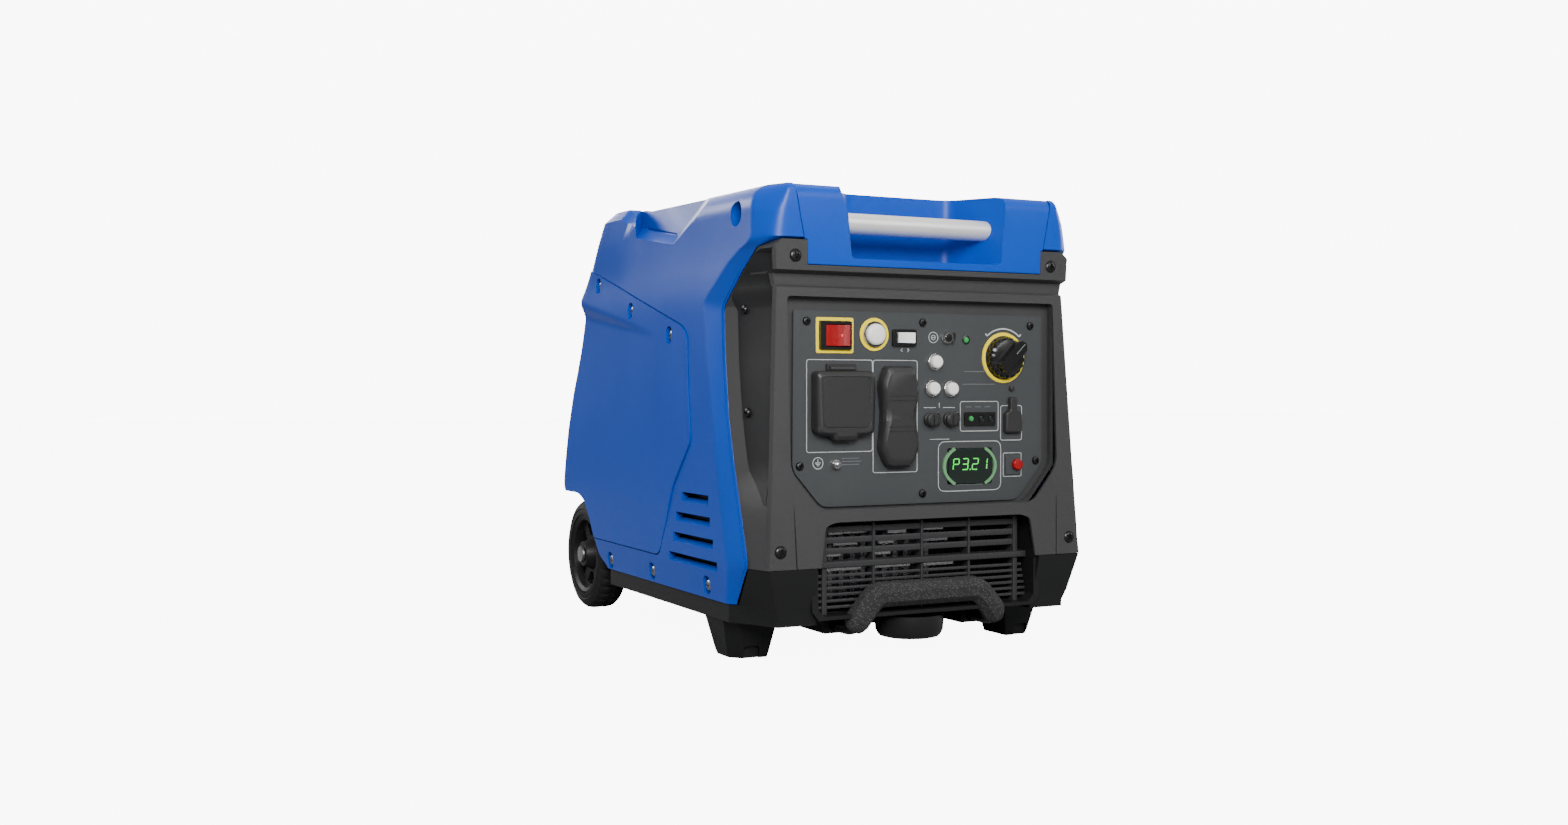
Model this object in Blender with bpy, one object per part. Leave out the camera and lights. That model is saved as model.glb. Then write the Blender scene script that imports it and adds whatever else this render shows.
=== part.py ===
"""Inverter generator: a closed petrol set on two feet and two wheels, with a pull-out tow handle.

Frame: metres, +Z up, origin on the ground under the middle of the box. The control panel faces -Y,
X runs across the machine, and the panel's right side, seen from the front, is +X.
The figures below are millimetres; MM turns them into metres as each mesh is made."""

import math

import bmesh
import bpy
from mathutils import Vector

MM = 0.001
GAP = 0.35  # clearance kept between neighbouring pieces
WALL = 3.0  # moulded cover thickness

# Overall box
LENGTH = 622.0
WIDTH = 445.0
HEIGHT = 532.0
HALF_WIDTH = WIDTH / 2
HALF_LENGTH = LENGTH / 2

# Front planes
PANEL_Y = -286.6  # front surface of the control panel
FACE_Y = -299.6  # front plane of the head
PANEL_BACK = PANEL_Y + WALL

# Side skin: half width by height, front edges of the blue covers, and the rear line
SKIN_HALF_WIDTH = ((65, 218.5), (110, HALF_WIDTH), (265, 217.5), (400, 212), (450, 207), (480, 205.5),
                   (526, 205))
BOUNDARY_Y = ((65, -245), (111, -280.6), (170, -257), (222, -236.6), (271, -220.6), (330, -207),
              (391, -198.6), (428, -238.6), (455, -275))
BAND_Y = ((65, -236.6), (107, -243.6), (220, -208.6), (265, -196.6), (330, -176), (398, -158.6),
          (438, -216.6), (462, -269.6))
REAR_Y = ((156, 303), (163, 309), (171, 310.4), (243, 305.5), (294, 297.5), (354, 279), (397, 268),
          (422, 268), (462, 229), (500, 194), (524, 172), (532, 160))
BAND_DEPTH = 8.0
SEAM_X = 168.0  # where the side covers meet the top cover
REAR_SEAM_X = 168.3
CORNER = 12.0  # radius of the rear corners
TOP_FRONT = 520.0
RIDGE_Y = 110.0  # the deck rises to its full height here
CREASE_START, CREASE_DEPTH = -21.0, 9.0  # the lower side steps in behind this point

# Carry bars
BAR_R = 11.8
FRONT_BAR = (-271.6, 482.0)
REAR_BAR = (166.0, 490.0)
BAR_HALF = 112.0

# Running gear
WHEEL_R = 74.0
WHEEL_Y = HALF_LENGTH - WHEEL_R
WHEEL_Z = WHEEL_R
WHEEL_OUT, WHEEL_IN = 217.4, 175.6
AXLE_R = 8.0
GRIP_R = 14.0
GRIP_Y = -HALF_LENGTH + GRIP_R
TOW_TUBE_R = 8.0
TOW_X, TOW_Z = 91.0, 36.0

# Engine, with its crankshaft across the machine
CRANK = (70.0, 175.0)  # y, z
CRANK_R = 11.5

COLOURS = {
    "blue_plastic": ((0.0, 0.09, 0.42, 1), 0.32, 0.0),
    "grey_plastic": ((0.055, 0.055, 0.058, 1), 0.5, 0.0),
    "black_plastic": ((0.02, 0.02, 0.021, 1), 0.5, 0.0),
    "panel_face": ((0.045, 0.055, 0.062, 1), 0.45, 0.0),
    "anodised_aluminium": ((0.62, 0.61, 0.6, 1), 0.38, 1.0),
    "cast_aluminium": ((0.42, 0.43, 0.44, 1), 0.55, 1.0),
    "steel": ((0.3, 0.3, 0.31, 1), 0.4, 1.0),
    "tyre_rubber": ((0.015, 0.015, 0.015, 1), 0.8, 0.0),
    "foam": ((0.02, 0.02, 0.02, 1), 0.95, 0.0),
    "red_plastic": ((0.6, 0.01, 0.01, 1), 0.3, 0.0),
    "white_plastic": ((0.75, 0.75, 0.73, 1), 0.4, 0.0),
    "clear_plastic": ((0.7, 0.7, 0.7, 1), 0.2, 0.0),
    "soft_rubber": ((0.018, 0.018, 0.02, 1), 0.7, 0.0),
    "display_glass": ((0.01, 0.02, 0.015, 1), 0.15, 0.0),
    "rope": ((0.03, 0.03, 0.03, 1), 0.9, 0.0),
}


def clear_scene():
    for obj in list(bpy.data.objects):
        bpy.data.objects.remove(obj, do_unlink=True)


def material(slot):
    made = bpy.data.materials.get(slot)
    if made:
        return made
    colour, roughness, metallic = COLOURS[slot]
    made = bpy.data.materials.new(slot)
    made.use_nodes = True
    shader = made.node_tree.nodes["Principled BSDF"]
    shader.inputs["Base Color"].default_value = colour
    shader.inputs["Roughness"].default_value = roughness
    shader.inputs["Metallic"].default_value = metallic
    return made


def along(table, value):
    """Straight-line reading of a table of (key, value) pairs, held flat past its ends."""
    if value <= table[0][0]:
        return table[0][1]
    for (low, a), (high, b) in zip(table, table[1:]):
        if value <= high:
            return a + (b - a) * (value - low) / (high - low)
    return table[-1][1]


def ramp(value, low, high):
    return min(max((value - low) / (high - low), 0.0), 1.0)


def place(name, bm, slot, origin=(0, 0, 0)):
    """A named object from a mesh drawn in millimetres, with its own origin."""
    bmesh.ops.recalc_face_normals(bm, faces=bm.faces)
    offset = Vector(origin)
    for vertex in bm.verts:
        vertex.co = (vertex.co - offset) * MM
    mesh = bpy.data.meshes.new(name)
    bm.to_mesh(mesh)
    bm.free()
    obj = bpy.data.objects.new(name, mesh)
    obj.location = offset * MM
    mesh.materials.append(material(slot))
    mesh.shade_smooth()
    mesh.set_sharp_from_angle(angle=math.radians(35))
    bpy.context.scene.collection.objects.link(obj)
    return obj


def helper(name, bm):
    """A cutter or a shape to be joined: kept out of the finished model."""
    obj = place(name, bm, "steel")
    obj.hide_render = True
    obj.display_type = "WIRE"
    return obj


def combine(obj, operation, *meshes):
    for number, bm in enumerate(meshes):
        other = helper(f"{obj.name}_{operation.lower()}_{len(obj.modifiers)}_{number}", bm)
        modifier = obj.modifiers.new(operation.title(), "BOOLEAN")
        modifier.operation = operation
        modifier.solver = "EXACT"
        modifier.object = other
    return obj


def cut(obj, *meshes):
    return combine(obj, "DIFFERENCE", *meshes)


def join(obj, *meshes):
    return combine(obj, "UNION", *meshes)


def prism(outline, axis, low, high):
    """A flat outline, given in the two other axes in X, Y, Z order, drawn out along an axis."""
    bm = bmesh.new()
    rings = []
    for level in (low, high):
        rings.append([bm.verts.new(point[:axis] + (level,) + point[axis:]) for point in outline])
    skin_rings(bm, rings)
    return bm


def skin_rings(bm, rings, closed=False):
    """Joins rings of equal length into a tube; its ends are filled, or joined when closed."""
    count = len(rings[0])
    pairs = list(zip(rings, rings[1:]))
    if closed:
        pairs.append((rings[-1], rings[0]))
    for first, second in pairs:
        for i in range(count):
            j = (i + 1) % count
            bm.faces.new((first[i], first[j], second[j], second[i]))
    if not closed:
        bm.faces.new(list(reversed(rings[0])))
        bm.faces.new(rings[-1])


def box(low, high, bevel=0.0):
    plan = [(low[0], low[1]), (high[0], low[1]), (high[0], high[1]), (low[0], high[1])]
    bm = prism(plan, 2, low[2], high[2])
    if bevel:
        bmesh.ops.bevel(bm, geom=bm.edges[:], offset=bevel, segments=1, affect="EDGES")
    return bm


def loft(sections):
    """A solid through four-sided sections, each ((x0, y0), (x1, y1), z)."""
    bm = bmesh.new()
    rings = []
    for (x0, y0), (x1, y1), z in sections:
        rings.append([bm.verts.new(p) for p in ((x0, y0, z), (x1, y0, z), (x1, y1, z), (x0, y1, z))])
    skin_rings(bm, rings)
    return bm


def frame_of(axis):
    """Unit vectors of an axis and of the two across it."""
    main = Vector([(1, 0, 0), (0, 1, 0), (0, 0, 1)][axis])
    side = Vector([(0, 1, 0), (0, 0, 1), (1, 0, 0)][axis])
    return main, side, main.cross(side)


def turned(profile, axis, centre, steps=24, hollow=False):
    """A turned solid: profile points are (distance along the axis, radius).

    An open profile ends on the axis through its flat ends; a hollow one is a closed loop off the axis."""
    bm = bmesh.new()
    main, side, other = frame_of(axis)
    rings = []
    for distance, radius in profile:
        middle = Vector(centre) + main * distance
        ring = []
        for step in range(steps):
            angle = 2 * math.pi * step / steps
            spoke = side * math.cos(angle) + other * math.sin(angle)
            ring.append(bm.verts.new(middle + spoke * radius))
        rings.append(ring)
    skin_rings(bm, rings, closed=hollow)
    return bm


def disc(axis, centre, radius, low, high, steps=24):
    return turned([(low, radius), (high, radius)], axis, centre, steps)


def ring_of(axis, centre, outer, inner, low, high, steps=28):
    profile = [(low, outer), (high, outer), (high, inner), (low, inner)]
    return turned(profile, axis, centre, steps, hollow=True)


def swept(points, radius, sides=12):
    """A round bar along a path in one plane or more, its sections square to the path."""
    bm = bmesh.new()
    points = [Vector(p) for p in points]
    rings = []
    up = None
    for i, point in enumerate(points):
        before = (point - points[i - 1]).normalized() if i else None
        after = (points[i + 1] - point).normalized() if i + 1 < len(points) else None
        direction = ((before or after) + (after or before)).normalized()
        if up is None:
            up = direction.orthogonal().normalized()
        up = (up - direction * up.dot(direction)).normalized()
        side = direction.cross(up)
        stretch = 1 / max(direction.dot(after or before), 0.5)
        turns = before and after and (after - before).length > 1e-6
        bend = (after - before).normalized() if turns else None
        ring = []
        for step in range(sides):
            angle = 2 * math.pi * (step + 0.5) / sides
            arm = (up * math.cos(angle) + side * math.sin(angle)) * radius
            if bend:
                arm += bend * arm.dot(bend) * (stretch - 1)
            ring.append(bm.verts.new(point + arm))
        rings.append(ring)
    skin_rings(bm, rings)
    return bm


def sheet(grid, thickness):
    """A closed shell: the grid of outer points, thickened inwards along its own normals."""
    rows, columns = len(grid), len(grid[0])
    outer = [[Vector(p) for p in row] for row in grid]

    def normal(i, j):
        along_rows = outer[min(i + 1, rows - 1)][j] - outer[max(i - 1, 0)][j]
        along_columns = outer[i][min(j + 1, columns - 1)] - outer[i][max(j - 1, 0)]
        return along_rows.cross(along_columns).normalized()

    bm = bmesh.new()
    front = [[bm.verts.new(p) for p in row] for row in outer]
    back = []
    for i in range(rows):
        back.append([bm.verts.new(outer[i][j] - normal(i, j) * thickness) for j in range(columns)])
    for i in range(rows - 1):
        for j in range(columns - 1):
            bm.faces.new((front[i][j], front[i][j + 1], front[i + 1][j + 1], front[i + 1][j]))
            bm.faces.new((back[i][j], back[i + 1][j], back[i + 1][j + 1], back[i][j + 1]))
    rim = [(0, j) for j in range(columns)] + [(i, columns - 1) for i in range(1, rows)]
    rim += [(rows - 1, j) for j in range(columns - 2, -1, -1)] + [(i, 0) for i in range(rows - 2, 0, -1)]
    for (a, b), (c, d) in zip(rim, rim[1:] + rim[:1]):
        bm.faces.new((front[a][b], back[a][b], back[c][d], front[c][d]))
    bmesh.ops.triangulate(bm, faces=bm.faces[:])
    return bm


def pierced_plate(xs, zs, is_hole, low_y, high_y):
    """A plate facing Y with square holes: is_hole says which cells of the grid xs by zs are open."""
    bm = bmesh.new()
    verts = {}

    def corner(i, j, y):
        key = (i, j, y)
        if key not in verts:
            verts[key] = bm.verts.new((xs[i], y, zs[j]))
        return verts[key]

    solid = {(i, j) for i in range(len(xs) - 1) for j in range(len(zs) - 1) if not is_hole(i, j)}
    for i, j in solid:
        for y in (low_y, high_y):
            bm.faces.new([corner(a, b, y) for a, b in ((i, j), (i + 1, j), (i + 1, j + 1), (i, j + 1))])
        for step, a, b in (((-1, 0), (i, j), (i, j + 1)), ((1, 0), (i + 1, j), (i + 1, j + 1)),
                           ((0, -1), (i, j), (i + 1, j)), ((0, 1), (i, j + 1), (i + 1, j + 1))):
            if (i + step[0], j + step[1]) not in solid:
                bm.faces.new((corner(*a, low_y), corner(*b, low_y), corner(*b, high_y), corner(*a, high_y)))
    return bm


def mirrored(points):
    """A half outline in X, continued on the other side."""
    return list(points) + [(-p[0],) + tuple(p[1:]) for p in reversed(points)]


# --- the outer skin ---------------------------------------------------------------------------------


def top_of(y):
    return TOP_FRONT + (HEIGHT - TOP_FRONT) * ramp(y, -280, RIDGE_Y)


def skin_x(y, z):
    """Half width of the side skin at a point of the side view."""
    width = along(SKIN_HALF_WIDTH, z) + 5 * ramp(y, 60, 160) * ramp(z, 430, 500)
    back = ramp(y, CREASE_START, 268)
    lowered = back * CREASE_DEPTH * ramp(z, 165, 385)
    return width - lowered * (1 - ramp(z, 364 + 33 * back, 366 + 55 * back))


def side_rows():
    """Rows of the left cover's outer surface, bottom to top, each from the front seam to the rear seam."""
    rows = []
    for z in (65.2, 111, 170, 222, 271, 330, 362, 391, 408, 428, 454):
        rows.append(body_row(z))
    for z, inset, aside in ((462, 0, 0), (494, 0, 0), (508, 3, 6)):
        rows.append(head_row(z, inset, aside))
    rows += [top_row(9, 4, 14), top_row(15, 0, 26), top_row(None, 0, 0)]
    return rows


def side_stations(z, front):
    """Y positions along a side row: the front band's outer edge, side points, then the rear corner."""
    rear = along(REAR_Y, z)
    inner = [-140, -50, 0, 61, 103, 150]
    stations = [min(max(y, front + 4), rear - CORNER - 4 - (len(inner) - i)) for i, y in enumerate(inner)]
    return [front] + stations + [rear - CORNER, rear - CORNER * 0.3, rear]


def rear_inset(index):
    return {0: 0.0, 1: CORNER * 0.3, 2: CORNER}[index]


def body_row(z):
    edge = along(BOUNDARY_Y, z)
    width = skin_x(edge, z)
    row = [(-(width - BAND_DEPTH - 3), edge + 2, z), (-(width - BAND_DEPTH), edge, z)]
    stations = side_stations(z, along(BAND_Y, z))
    for y in stations[:-2]:
        row.append((-skin_x(y, z), y, z))
    for index, y in enumerate(stations[-2:], 1):
        row.append((-(skin_x(y, z) - rear_inset(index)), y, z))
    row.append((-REAR_SEAM_X, stations[-1], z))
    return row


def notch(y):
    """How far the hand notch behind the head is let in."""
    return 26.0 * ramp(y, -140, -50) * (1 - ramp(y, 61, 103))


def seam_at(z):
    """X of the front seam between the head and the top cover."""
    return SEAM_X + 0.4 - 11 * (1 - ramp(z, 462, 520))


def let_in(y, depth, aside):
    """How far a shoulder row is let in from the side: wide at the head, tighter behind the notch."""
    return depth + aside * (0.35 if depth > 5 else 1 - 0.55 * ramp(y, 40, 100))


def head_row(z, inset, aside):
    """A row above the bezel, let in by inset at the head's front face and by aside at its side."""
    y_front = FACE_Y + inset
    row = [(-seam_at(z), y_front, z), (-(191 - 0.5 * aside), y_front, z)]
    stations = side_stations(z, -269.6)
    for index, y in enumerate(stations):
        x = skin_x(y, z) - let_in(y, notch(y) if z > 480 else 0, aside)
        x -= rear_inset(max(0, index - len(stations) + 3))
        row.append((-max(x, SEAM_X + 5), y, z))
    row.append((-REAR_SEAM_X, stations[-1], z))
    return row


def top_row(inset, drop, aside):
    """A row of the rounded shoulder, drop below the top, or the row that meets the top cover (no inset)."""
    flat = inset is None
    stations = side_stations(HEIGHT if flat else 522, -269.6 if not flat else -262)
    y_front = FACE_Y + (20 if flat else inset)
    row = [(-(SEAM_X + 0.4), y_front, top_of(y_front) - drop)]
    corner = SEAM_X + 0.5 if flat else 191 - 0.5 * aside
    row.append((-corner, y_front + (0.5 if flat else 0), top_of(y_front) - drop))
    for index, y in enumerate(stations):
        x = SEAM_X + 0.4
        if not flat:
            x = skin_x(y, 522) - let_in(y, notch(y), aside)
            x = max(x - rear_inset(max(0, index - len(stations) + 3)), SEAM_X + 3 + drop * 0.5)
        row.append((-x, y, top_of(y) - drop))
    row.append((-(SEAM_X + 0.3), stations[-1] + 0.1, top_of(stations[-1]) - drop - 0.2))
    return row


def build_skin(side):
    grid = side_rows()
    if side > 0:
        grid = [[(-x, y, z) for x, y, z in reversed(row)] for row in grid]
    return sheet(grid, WALL)


# --- covers ------------------------------------------------------------------------------------------

ARCH = [(125, 40), (132.6, 66), (164, 79), (195, 124), (219, 150), (243, 157.5), (330, 157.5), (330, 40)]
COVER_SEAM = [(330, 487.6), (-98, 374), (-117, 363), (-123, 312), (-136, 250), (-136, 238), (-88, 184),
              (-72, 144), (-49, 101), (183, 102), (215, 130), (330, 130)]
LOUVRES = ((-190, -115, 173, 180), (-196, -99, 149, 156), (-206, -93, 125, 132), (-217, -80, 101, 108))
SIDE_HOLE = (-231.0, 491.0, 14.0)  # y, z and radius of the hole in each side of the head
RECOIL = (20.0, 366.0)  # y and z of the rope's line
RECOIL_POCKET = (52.0, 17.0)  # half length and half height
POCKET_FLOOR = 197.0


def shifted(outline, amount):
    """The cover seam moved outwards from the middle of its outline, to leave the gap round the cover."""
    middle = Vector((40, 280))
    moved = []
    for point in outline:
        arm = Vector(point) - middle
        moved.append(tuple(middle + arm * (1 + amount / arm.length)))
    return moved


def side_cutters(side):
    near, far = sorted((side * 150, side * 240))
    cutters = [prism(ARCH, 0, near, far), prism(shifted(COVER_SEAM, 0.5), 0, near, far)]
    for y0, y1, z0, z1 in LOUVRES:
        cutters.append(box((near, y0, z0), (far, y1, z1)))
    y, z, radius = SIDE_HOLE
    cutters.append(disc(0, (0, y, z), radius, near, far, 20))
    return cutters


def build_side_covers(name, side):
    shell = place(f"{name}_side_shell", build_skin(side), "blue_plastic")
    cut(shell, *side_cutters(side))
    cover = place(f"{name}_service_cover", build_skin(side), "blue_plastic")
    near, far = sorted((side * 150, side * 240))
    combine(cover, "INTERSECT", prism(COVER_SEAM, 0, near, far))
    cut(cover, prism(ARCH, 0, near, far))
    return cover


def build_recoil_pocket(cover):
    y, z = RECOIL
    half_y, half_z = RECOIL_POCKET
    outer = skin_x(y, z) - 1.2
    join(cover, box((POCKET_FLOOR - 2.5, y - half_y - 2.5, z - half_z - 2.5),
                    (outer, y + half_y + 2.5, z + half_z + 2.5)))
    cut(cover, box((POCKET_FLOOR, y - half_y, z - half_z), (240, y + half_y, z + half_z)),
        disc(0, (0, y, z), 4.0, POCKET_FLOOR - 8, POCKET_FLOOR + 4, 12))


TOP_OUTLINE = [(FACE_Y, 433), (FACE_Y, 498), (-297, 508), (-290.5, 516), (-280, TOP_FRONT), (RIDGE_Y, HEIGHT),
               (160, HEIGHT), (172, 524), (194, 500), (229, 462), (231, 458.5), (-218, 458.5), (-222, 433)]
TOP_HOLLOW = [(FACE_Y + 3, 425), (FACE_Y + 3, 497), (-294, 506), (-289, 513), (-279, 516.8),
              (RIDGE_Y, HEIGHT - 3.2), (159, HEIGHT - 3.2), (169, 522), (191, 498), (226, 461), (228, 440),
              (-219, 440), (-223, 425)]
BACK_WALL = -226.6
REAR_WALL = 122.0
FRONT_FLOOR, REAR_FLOOR = 441.0, 464.0
CAP_AT = (0.0, -50.0)
FILLER_HOLE_R = 46.0
CAP_TOP = 521.0


def recess(open_y, back_y, floor, grow):
    """A carry-handle recess, narrowing towards its back wall and widening upwards."""
    out = math.copysign(40, open_y - back_y)
    back = back_y - math.copysign(grow, out)
    floor -= grow
    bm = bmesh.new()
    rings = []
    for z, half_open, half_back in ((floor, 98, 68), (490, 103, 70), (540, 116, 71)):
        spread = (half_open - half_back) / abs(open_y - back_y)
        front_half = half_open + spread * abs(out) + grow
        ring = [(-front_half, open_y + out, z), (front_half, open_y + out, z), (half_back + grow, back, z),
                (-half_back - grow, back, z)]
        rings.append([bm.verts.new(point) for point in ring])
    skin_rings(bm, rings)
    return bm


def build_top_cover():
    half = SEAM_X - GAP
    cover = place("top_cover", prism(TOP_OUTLINE, 0, -half, half), "blue_plastic")
    hollow = helper("top_hollow", prism(TOP_HOLLOW, 0, -half + 3, half - 3))
    cut(hollow, recess(FACE_Y, BACK_WALL, FRONT_FLOOR, WALL), recess(190, REAR_WALL, REAR_FLOOR, WALL),
        disc(2, CAP_AT + (0,), FILLER_HOLE_R + WALL, 506, 540))
    modifier = cover.modifiers.new("Hollow", "BOOLEAN")
    modifier.operation = "DIFFERENCE"
    modifier.object = hollow
    cut(cover, recess(FACE_Y, BACK_WALL, FRONT_FLOOR, 0), recess(190, REAR_WALL, REAR_FLOOR, 0),
        disc(2, CAP_AT + (0,), FILLER_HOLE_R, 480, 540))
    for y, z in (FRONT_BAR, REAR_BAR):
        cut(cover, disc(0, (0, y, z), BAR_R + GAP, -BAR_HALF - 10, BAR_HALF + 10, 16))
    ears = [(-200, 430), (-200, 460), (-(SEAM_X - 15), 460), (-(SEAM_X - 15.5), 430)]
    for side in (1, -1):
        cut(cover, prism([(-x * side, z) for x, z in ears], 1, FACE_Y - 5, FACE_Y + 20))
        wedge = [(152.8, 455), (seam_at(462) - GAP, 462), (seam_at(520) - GAP, 520.6), (SEAM_X + 5, 521),
                 (SEAM_X + 5, 455)]
        cut(cover, prism([(x * side, z) for x, z in wedge], 1, FACE_Y - 5, FACE_Y + 24.5))


BEZEL_ROWS = (  # z, half width of the main face, its y, y of the wing behind its edge
    (107.4, 203, -308.4, -305), (126, 201, -307.6, -303), (150, 200, -306.5, -298), (170, 199, -305.4, -290),
    (222, 196, -302.8, -284), (271, 194, -300.4, -281), (330, 191, -297.6, -278), (391, 188, -294.7, -276),
    (408, 187, -293.8, -280), (411, 187, -290, -283), (424, 189.5, FACE_Y, -290), (440, 190.5, FACE_Y, -294),
    (451, 190.5, FACE_Y, -296), (459.2, 183.5, FACE_Y, -300))
PANEL_OUTLINE = mirrored([(163.2, 384.4), (165.5, 211), (130, 171)])
RIM_OUTLINE = mirrored([(169, 396), (169.5, 206), (134, 164.5)])
FLANGE_HOLE = mirrored([(158, 379), (160, 214), (127, 177)])
GRILLE_OPENING = mirrored([(124, 149), (130, 145), (140, 104)])


def build_bezel():
    grid = []
    for z, half, y, wing in BEZEL_ROWS:
        edge = along(BOUNDARY_Y, z)
        rim = skin_x(edge, z) - BAND_DEPTH - 3.6
        right = [(60, y), (half, y), (half + 1.5, min(wing, edge - 4)), (rim, edge - 0.6)]
        if z > 430:
            right[2] = (half + 0.3, (FACE_Y + edge) / 2)
        if z > 455:
            right[2:] = [(half + 0.2, FACE_Y + 3), (half + 0.4, FACE_Y + 6)]
        points = list(reversed(right)) + [(-x, v) for x, v in right]
        grid.append([(x, v, z) for x, v in points])
    bezel = place("front_bezel", sheet(grid, WALL), "grey_plastic")
    frame = prism(mirrored([(172, 399), (172.5, 204.5), (135.5, 161.5)]), 1, -297, PANEL_BACK + GAP + 2.5)
    join(bezel, frame)
    cut(bezel, prism(RIM_OUTLINE, 1, -330, PANEL_BACK + GAP), prism(FLANGE_HOLE, 1, -330, -250),
        box((-153.2, -330, 432.6), (153.2, -250, 470)),
        prism(GRILLE_OPENING, 1, -330, -250))
    for side in (1, -1):
        cut(bezel, disc(1, (side * 167.4, 0, 441.7), 6.5, FACE_Y - 4, FACE_Y + 1.6, 12),
            disc(1, (side * 189, 0, 126.3), 6.5, -315, -306, 12))


def build_grille():
    rails = [56.0 + 4.0 * i for i in range(20)] + [148.0]
    posts = [-137.5, -122, -66, -62, -2, 2, 62, 66, 122, 137.5]

    def is_hole(i, j):
        inside = 0 < i < len(posts) - 2 and 0 < j < len(rails) - 2
        return inside and i % 2 == 1 and j % 2 == 1 and rails[j] != 104.0

    place("front_grille", pierced_plate(posts, rails, is_hole, -280, -275.5), "black_plastic")


def build_rear_cover():
    levels = [z for z, _ in REAR_Y if 160 < z < 455]
    outer = [(along(REAR_Y, z), z) for z in [158.0] + list(levels) + [457.5]]
    inner = [(y - WALL, z) for y, z in reversed(outer)]
    half = REAR_SEAM_X - 0.5
    cover = place("rear_cover", prism(outer + inner, 0, -half, half), "grey_plastic")
    cut(cover, disc(1, (-80, 0, 250), 19, 250, 330))
    for row in range(7):
        z = 200 + row * 16
        cut(cover, box((0, 250, z), (120, 330, z + 7)))


def build_base_tray():
    plan = mirrored([(141, -262), (141, -296), (187, -296), (200.5, -262), (216.5, -236), (216.5, 131),
                     (168, 131), (168, 289)])
    tray = place("base_tray", prism(plan, 2, 44.6, 64.8), "black_plastic")
    cut(tray, prism(mirrored([(206, -235), (206, 122), (160, 122), (160, 283)]), 2, 49, 80))
    for side in (1, -1):
        corner = bmesh.new()
        rings = []
        low = [(138, -295), (186, -295), (202, -234.5), (192, -240.3), (138, -255)]
        high = [(141.5, -308.2), (202.5, -308.2), (210, -279.5), (201, -276), (141.5, -284)]
        for z, points in ((45.2, low), (107.0, high)):
            rings.append([corner.verts.new((side * x, y, z)) for x, y in points])
        skin_rings(corner, rings)
        join(tray, corner)
        join(tray, box((min(side * 150, side * 158), 218, 47), (max(side * 150, side * 158), 256, 92)))
        join(tray, box((min(side * 78, side * 104), -252, 26), (max(side * 78, side * 104), 118, 46)))
    join(tray, loft([((-60, -205), (60, 100), 26), ((-68, -215), (68, 110), 46)]),
         box((-142, -279, 45), (142, -258, 55)),
         box((-158, 284, 60), (158, 287.5, 156)))
    for side in (1, -1):
        cut(tray, disc(1, (side * TOW_X, 0, TOW_Z), TOW_TUBE_R + GAP, -260, 130, 16))
    cut(tray, disc(0, (0, WHEEL_Y, WHEEL_Z), AXLE_R + GAP, -170, 170, 16))


def build_feet():
    for name, side in (("left", -1), ("right", 1)):
        sections = []
        for z, x0, x1, y0, y1 in ((44.2, 153, 213, -229, -164), (0, 161, 203, -220, -173)):
            sections.append(((side * x0, y0), (side * x1, y1), z))
        foot = place(f"front_foot_{name}", loft(sections), "black_plastic")
        cut(foot, prism([(side * x, y) for x, y in ((197, -232), (216, -232), (216, -206))], 2, -5, 50))


def build_bars():
    for name, (y, z) in (("front", FRONT_BAR), ("rear", REAR_BAR)):
        place(f"{name}_carry_bar", disc(0, (0, y, z), BAR_R, -BAR_HALF, BAR_HALF, 24), "anodised_aluminium")


# --- running gear ------------------------------------------------------------------------------------


def tow_path():
    right = [(TOW_X, 90, TOW_Z), (TOW_X, -279, TOW_Z), (TOW_X, -291, TOW_Z + 2.5),
             (TOW_X - 2, GRIP_Y, TOW_Z + 11), (TOW_X - 19, GRIP_Y, 67), (TOW_X - 27, GRIP_Y, 73)]
    return mirrored(right)


def build_tow_handle():
    place("tow_handle_frame", swept(tow_path(), TOW_TUBE_R, 10), "steel")
    path = tow_path()[2:-2]
    grip = place("tow_handle_grip", swept(path, GRIP_R, 12), "foam")
    cut(grip, swept(tow_path()[1:-1], TOW_TUBE_R + GAP, 10))


def build_wheels():
    axle = [(-221.8, 11), (-219.4, 11), (-219.4, AXLE_R), (219.4, AXLE_R), (219.4, 11), (221.8, 11)]
    place("rear_axle", turned(axle, 0, (0, WHEEL_Y, WHEEL_Z), 16), "steel")
    for name, side in (("left", -1), ("right", 1)):
        centre = (0, WHEEL_Y, WHEEL_Z)
        tyre = [(WHEEL_IN, 53), (WHEEL_IN + 1, 68), (WHEEL_IN + 7, WHEEL_R), (WHEEL_OUT - 7, WHEEL_R),
                (WHEEL_OUT - 1, 68), (WHEEL_OUT, 53)]
        hub = [(WHEEL_IN + 2, AXLE_R + GAP), (WHEEL_IN + 2, 18), (192, 20), (192, 46), (WHEEL_IN + 4, 47),
               (WHEEL_IN + 4, 52.5), (WHEEL_OUT - 2, 52.5), (WHEEL_OUT - 2, 47), (202, 45), (202, 22),
               (217.5, 18), (217.5, AXLE_R + GAP)]
        for part, profile, slot, steps in (("tyre", tyre, "tyre_rubber", 36),
                                           ("wheel_hub", hub, "black_plastic", 24)):
            points = [(side * x, r) for x, r in profile]
            place(f"{name}_{part}", turned(points, 0, centre, steps, hollow=True), slot, centre)


# --- inside ------------------------------------------------------------------------------------------


def comb(length, depth, core, teeth, fill=0.45):
    """A comb outline: a solid core and straight fins, as (along, across) points."""
    pitch = length / teeth
    points = [(0, 0), (length, 0)]
    for i in range(teeth, 0, -1):
        right = i * pitch - pitch * (1 - fill) / 2
        left = right - pitch * fill
        if i == teeth:
            points.append((length, core))
        points += [(right, core), (right, depth), (left, depth), (left, core)]
    points.append((0, core))
    return points


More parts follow.
